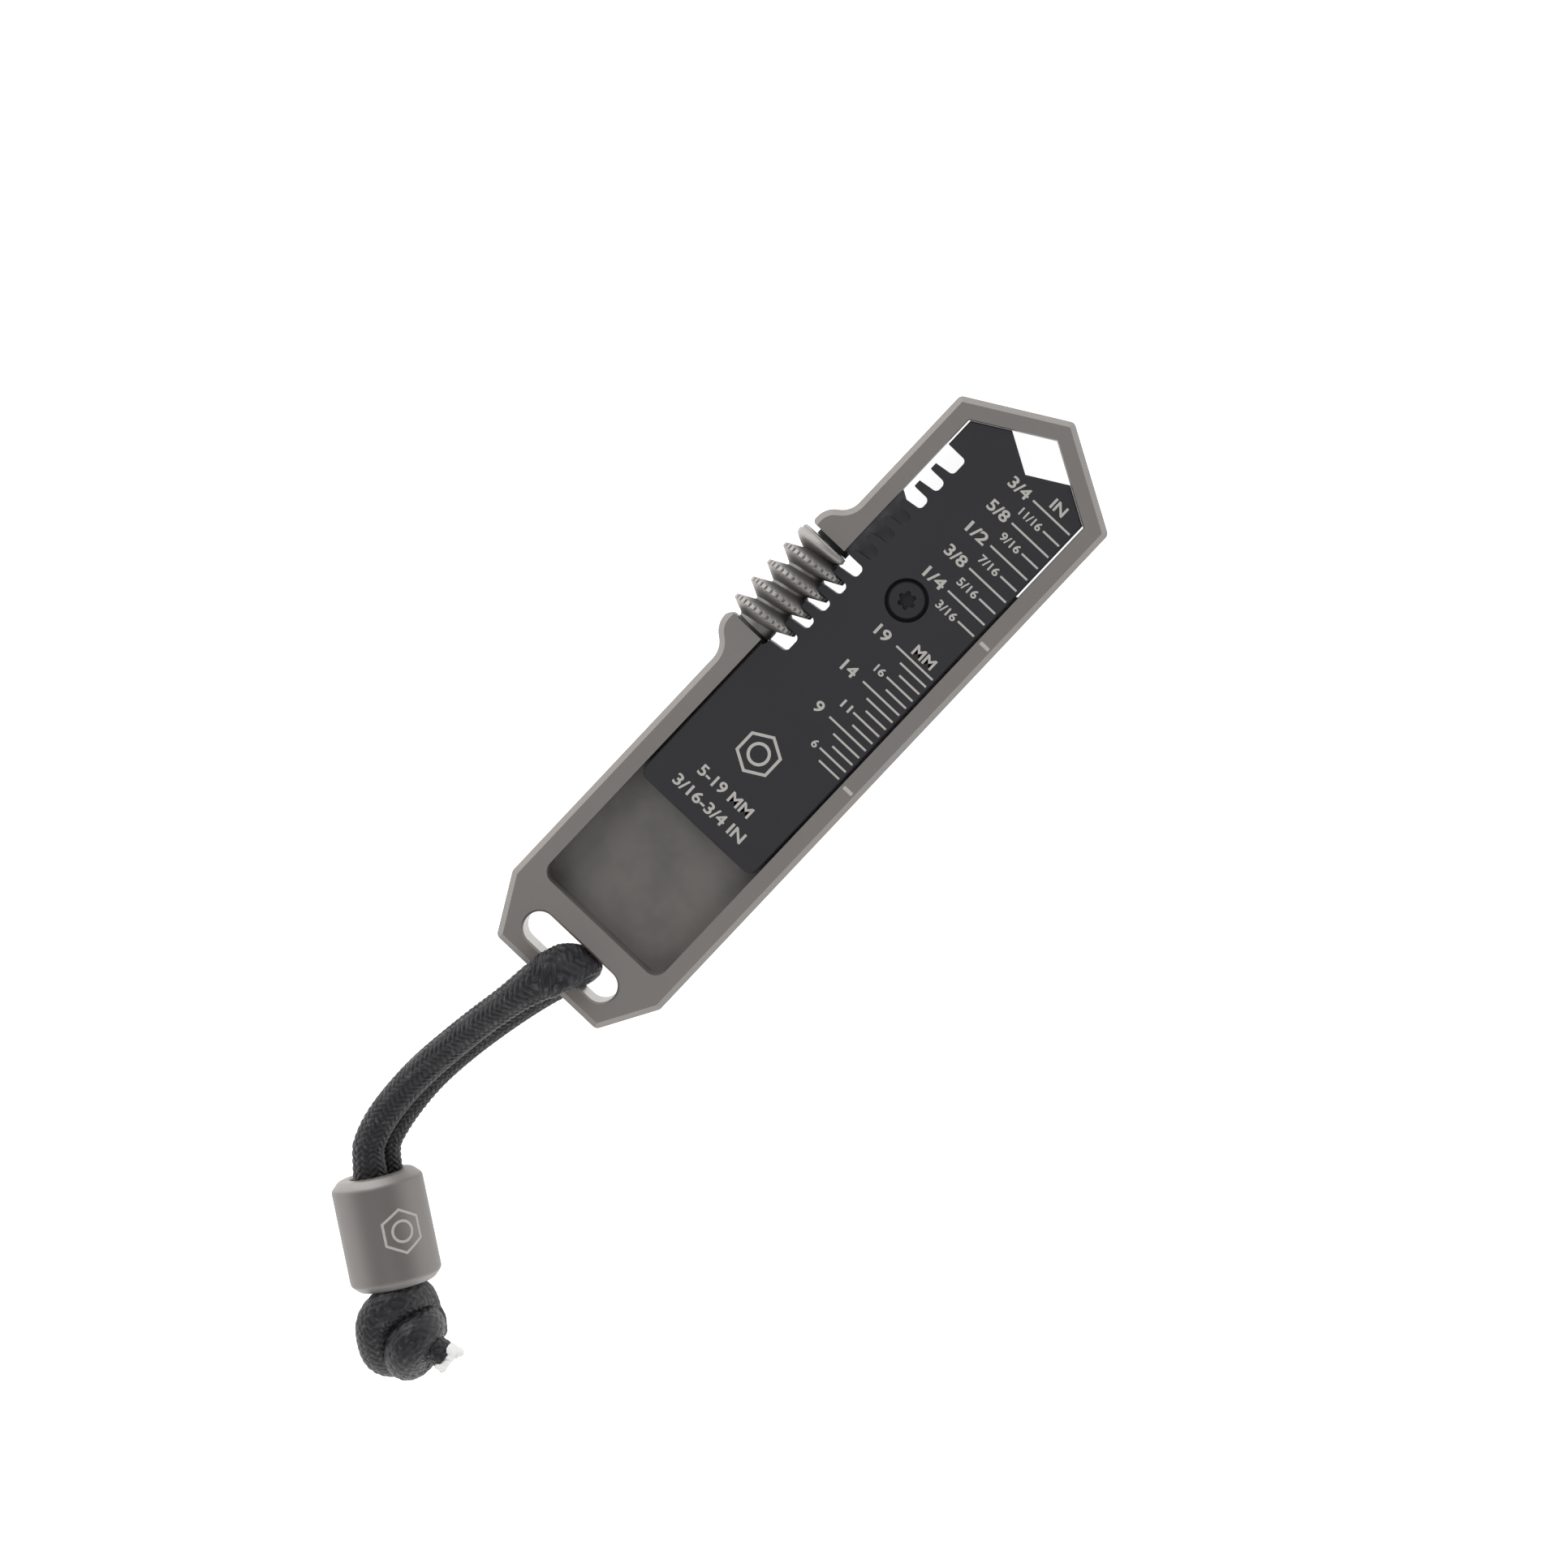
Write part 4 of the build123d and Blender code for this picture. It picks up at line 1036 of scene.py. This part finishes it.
# Painted glints: flecks of about a millimetre that make some floats paler.
fleck = add(tree, "TexNoise", {"Vector": place, "Scale": 1 / (0.8 * MM), "Detail": 2.0})
glint_flecks = add(tree, "MapRange", {"Value": fleck.outputs["Fac"], "From Min": 0.55, "From Max": 0.72})
float_tone = add(tree, "MixRGB", {"Fac": glint_flecks.outputs[0], "Color1": linear("1f1e22"),
                                  "Color2": linear("444246")})
tone = add(tree, "MixRGB", {"Fac": raised.outputs[0], "Color1": linear("121215"),
                            "Color2": float_tone.outputs["Color"]})
connect(tree, Base_Color=tone.outputs["Color"], Normal=grained(tree, 0.12 * MM, 0.4, 0.05 * MM))

# %% White nylon of the core
white_nylon, tree = new_material("nylon_core_white", Roughness=0.6, Sheen_Weight=0.3)
connect(tree, Base_Color=clouded(tree, 0.3 * MM, 2.0, "e2e2e0", "fafaf8"))
print("materials:", [m.name for m in bpy.data.materials])

# %% [markdown]
# ## Putting it together
#
# Each new piece gets its material and rides on its CAD body, and the CAD node that it stands for is hidden.

# %% Pieces, bodies and materials
for piece, material, body, slot_name, node in (
        (front_leg, nylon, "frame", "braided_nylon", "cord_front_leg"),
        (back_leg, nylon, "frame", "braided_nylon", "cord_back_leg"),
        (core_ends, white_nylon, "frame", "white_nylon_strands", "cord_core_ends"),
        (bead, tumbled, "bead", "tumbled_titanium", "lanyard_bead"),
        (worm, knurled, "worm", "machined_titanium", "worm_screw"),
        (scale_marks, laser_grey, "slider", "black_coated_steel", None),
        (index_marks, laser_grey, "frame", "blasted_titanium", None),
        (bead_mark, laser_grey, "bead", "tumbled_titanium", None)):
    give(piece, material)
    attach(piece, body)
    if node:
        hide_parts(node)
for wrap in wraps:
    give(wrap, nylon)
    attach(wrap, "frame")
    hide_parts("lanyard_knot")
for node, material in (("frame_body", blasted), ("jaw_slider", plate_steel), ("slider_screw", screw_black),
                       ("guide_nut", ground_steel), ("axle_pin_lower", ground_steel),
                       ("axle_pin_upper", ground_steel), ("axle_spring", ground_steel),
                       ("friction_ring", ring_rubber), ("thrust_washer", washer_plastic)):
    give(nodes[node], material)

# %% [markdown]
# ## Table, light and background
#
# The wrench rests on three places: its head, the cord under the end bar, and the bead. So the table leans
# by about three degrees against the wrench's own axes. The background is white because the table's own
# material turns brighter for the camera and for reflections, while the light on the wrench stays plain. A
# soft sky that is brighter near the horizon lights the edges, and two lamps make one side of each curve a
# little lighter.

# %% Table
HEAD_REST, TAIL_REST = (86.3, -3.02), (-3.0, -7.45)  # how far along and how high, in mm
lean = (HEAD_REST[1] - TAIL_REST[1]) / (HEAD_REST[0] - TAIL_REST[0])
TABLE, GLOW = 2.0, 0.9
corners = np.array([[-1, -1], [1, -1], [1, 1], [-1, 1]]) * TABLE
levels = HEAD_REST[1] * MM + (corners[:, 1] - HEAD_REST[0] * MM) * lean
table_top = mesh_object("table_top", np.column_stack([corners, levels]), [[0, 1, 2, 3]], smooth=False)
paper, tree = new_material("paper_white", Roughness=0.9, Base_Color=linear("e9e9e8"),
                           Emission_Color=(1, 1, 1, 1))
light_path = add(tree, "LightPath")
seen = add(tree, "Math", {0: light_path.outputs["Is Camera Ray"], 1: light_path.outputs["Is Glossy Ray"]},
           operation="MAXIMUM")
seen = add(tree, "Math", {0: seen.outputs[0], 1: light_path.outputs["Is Transmission Ray"]},
           operation="MAXIMUM")
glow = add(tree, "Math", {0: seen.outputs[0], 1: GLOW}, operation="MULTIPLY")
connect(tree, Emission_Strength=glow.outputs[0])
give(table_top, paper)
print("table leans by", round(lean, 4), "mm for each mm along the wrench")

# %% World
world = bpy.data.worlds.new("studio")
bpy.context.scene.world = world
world.use_nodes = True
tree = world.node_tree
tree.nodes.clear()
way = add(tree, "TexCoord").outputs["Generated"]
direction = add(tree, "SeparateXYZ", {"Vector": way}).outputs
strength = add(tree, "MapRange", {"Value": direction["Z"], "From Min": 0.15, "From Max": 0.8, "To Min": 1.8,
                                  "To Max": 0.36}, interpolation_type="SMOOTHSTEP")
leftness = add(tree, "MapRange", {"Value": direction["X"], "From Min": -1.0, "To Min": 1.1, "To Max": 0.84})
strength = add(tree, "Math", {0: strength.outputs["Result"], 1: leftness.outputs["Result"]},
               operation="MULTIPLY")
light = add(tree, "Background", {"Color": (1, 1, 1, 1), "Strength": strength.outputs[0]})
plain = add(tree, "Background", {"Color": (1, 1, 1, 1), "Strength": 1.0})
camera_ray = add(tree, "LightPath").outputs["Is Camera Ray"]
both = add(tree, "MixShader", {"Fac": camera_ray, 1: light.outputs[0], 2: plain.outputs[0]})
add(tree, "OutputWorld", {"Surface": both.outputs[0]})
print("world nodes:", len(tree.nodes))


# %% Lamps
def area_lamp(name, place, size, power, target=(0, 0.03, 0)):
    """A square lamp that faces a point on the wrench."""
    data = bpy.data.lights.new(name, "AREA")
    data.size = size
    data.energy = power
    lamp = bpy.data.objects.new(name, data)
    lamp.location = place
    lamp.rotation_euler = (Vector(target) - Vector(place)).to_track_quat("-Z", "Y").to_euler()
    bpy.context.scene.collection.objects.link(lamp)


area_lamp("lamp_left", (-0.5, 0.25, 0.5), 0.5, 2.1)
area_lamp("lamp_right", (0.3, -0.25, 0.6), 0.4, 0.55)
bpy.context.scene.view_settings.view_transform = "Standard"
print("lamps:", [lamp.name for lamp in bpy.data.lights])
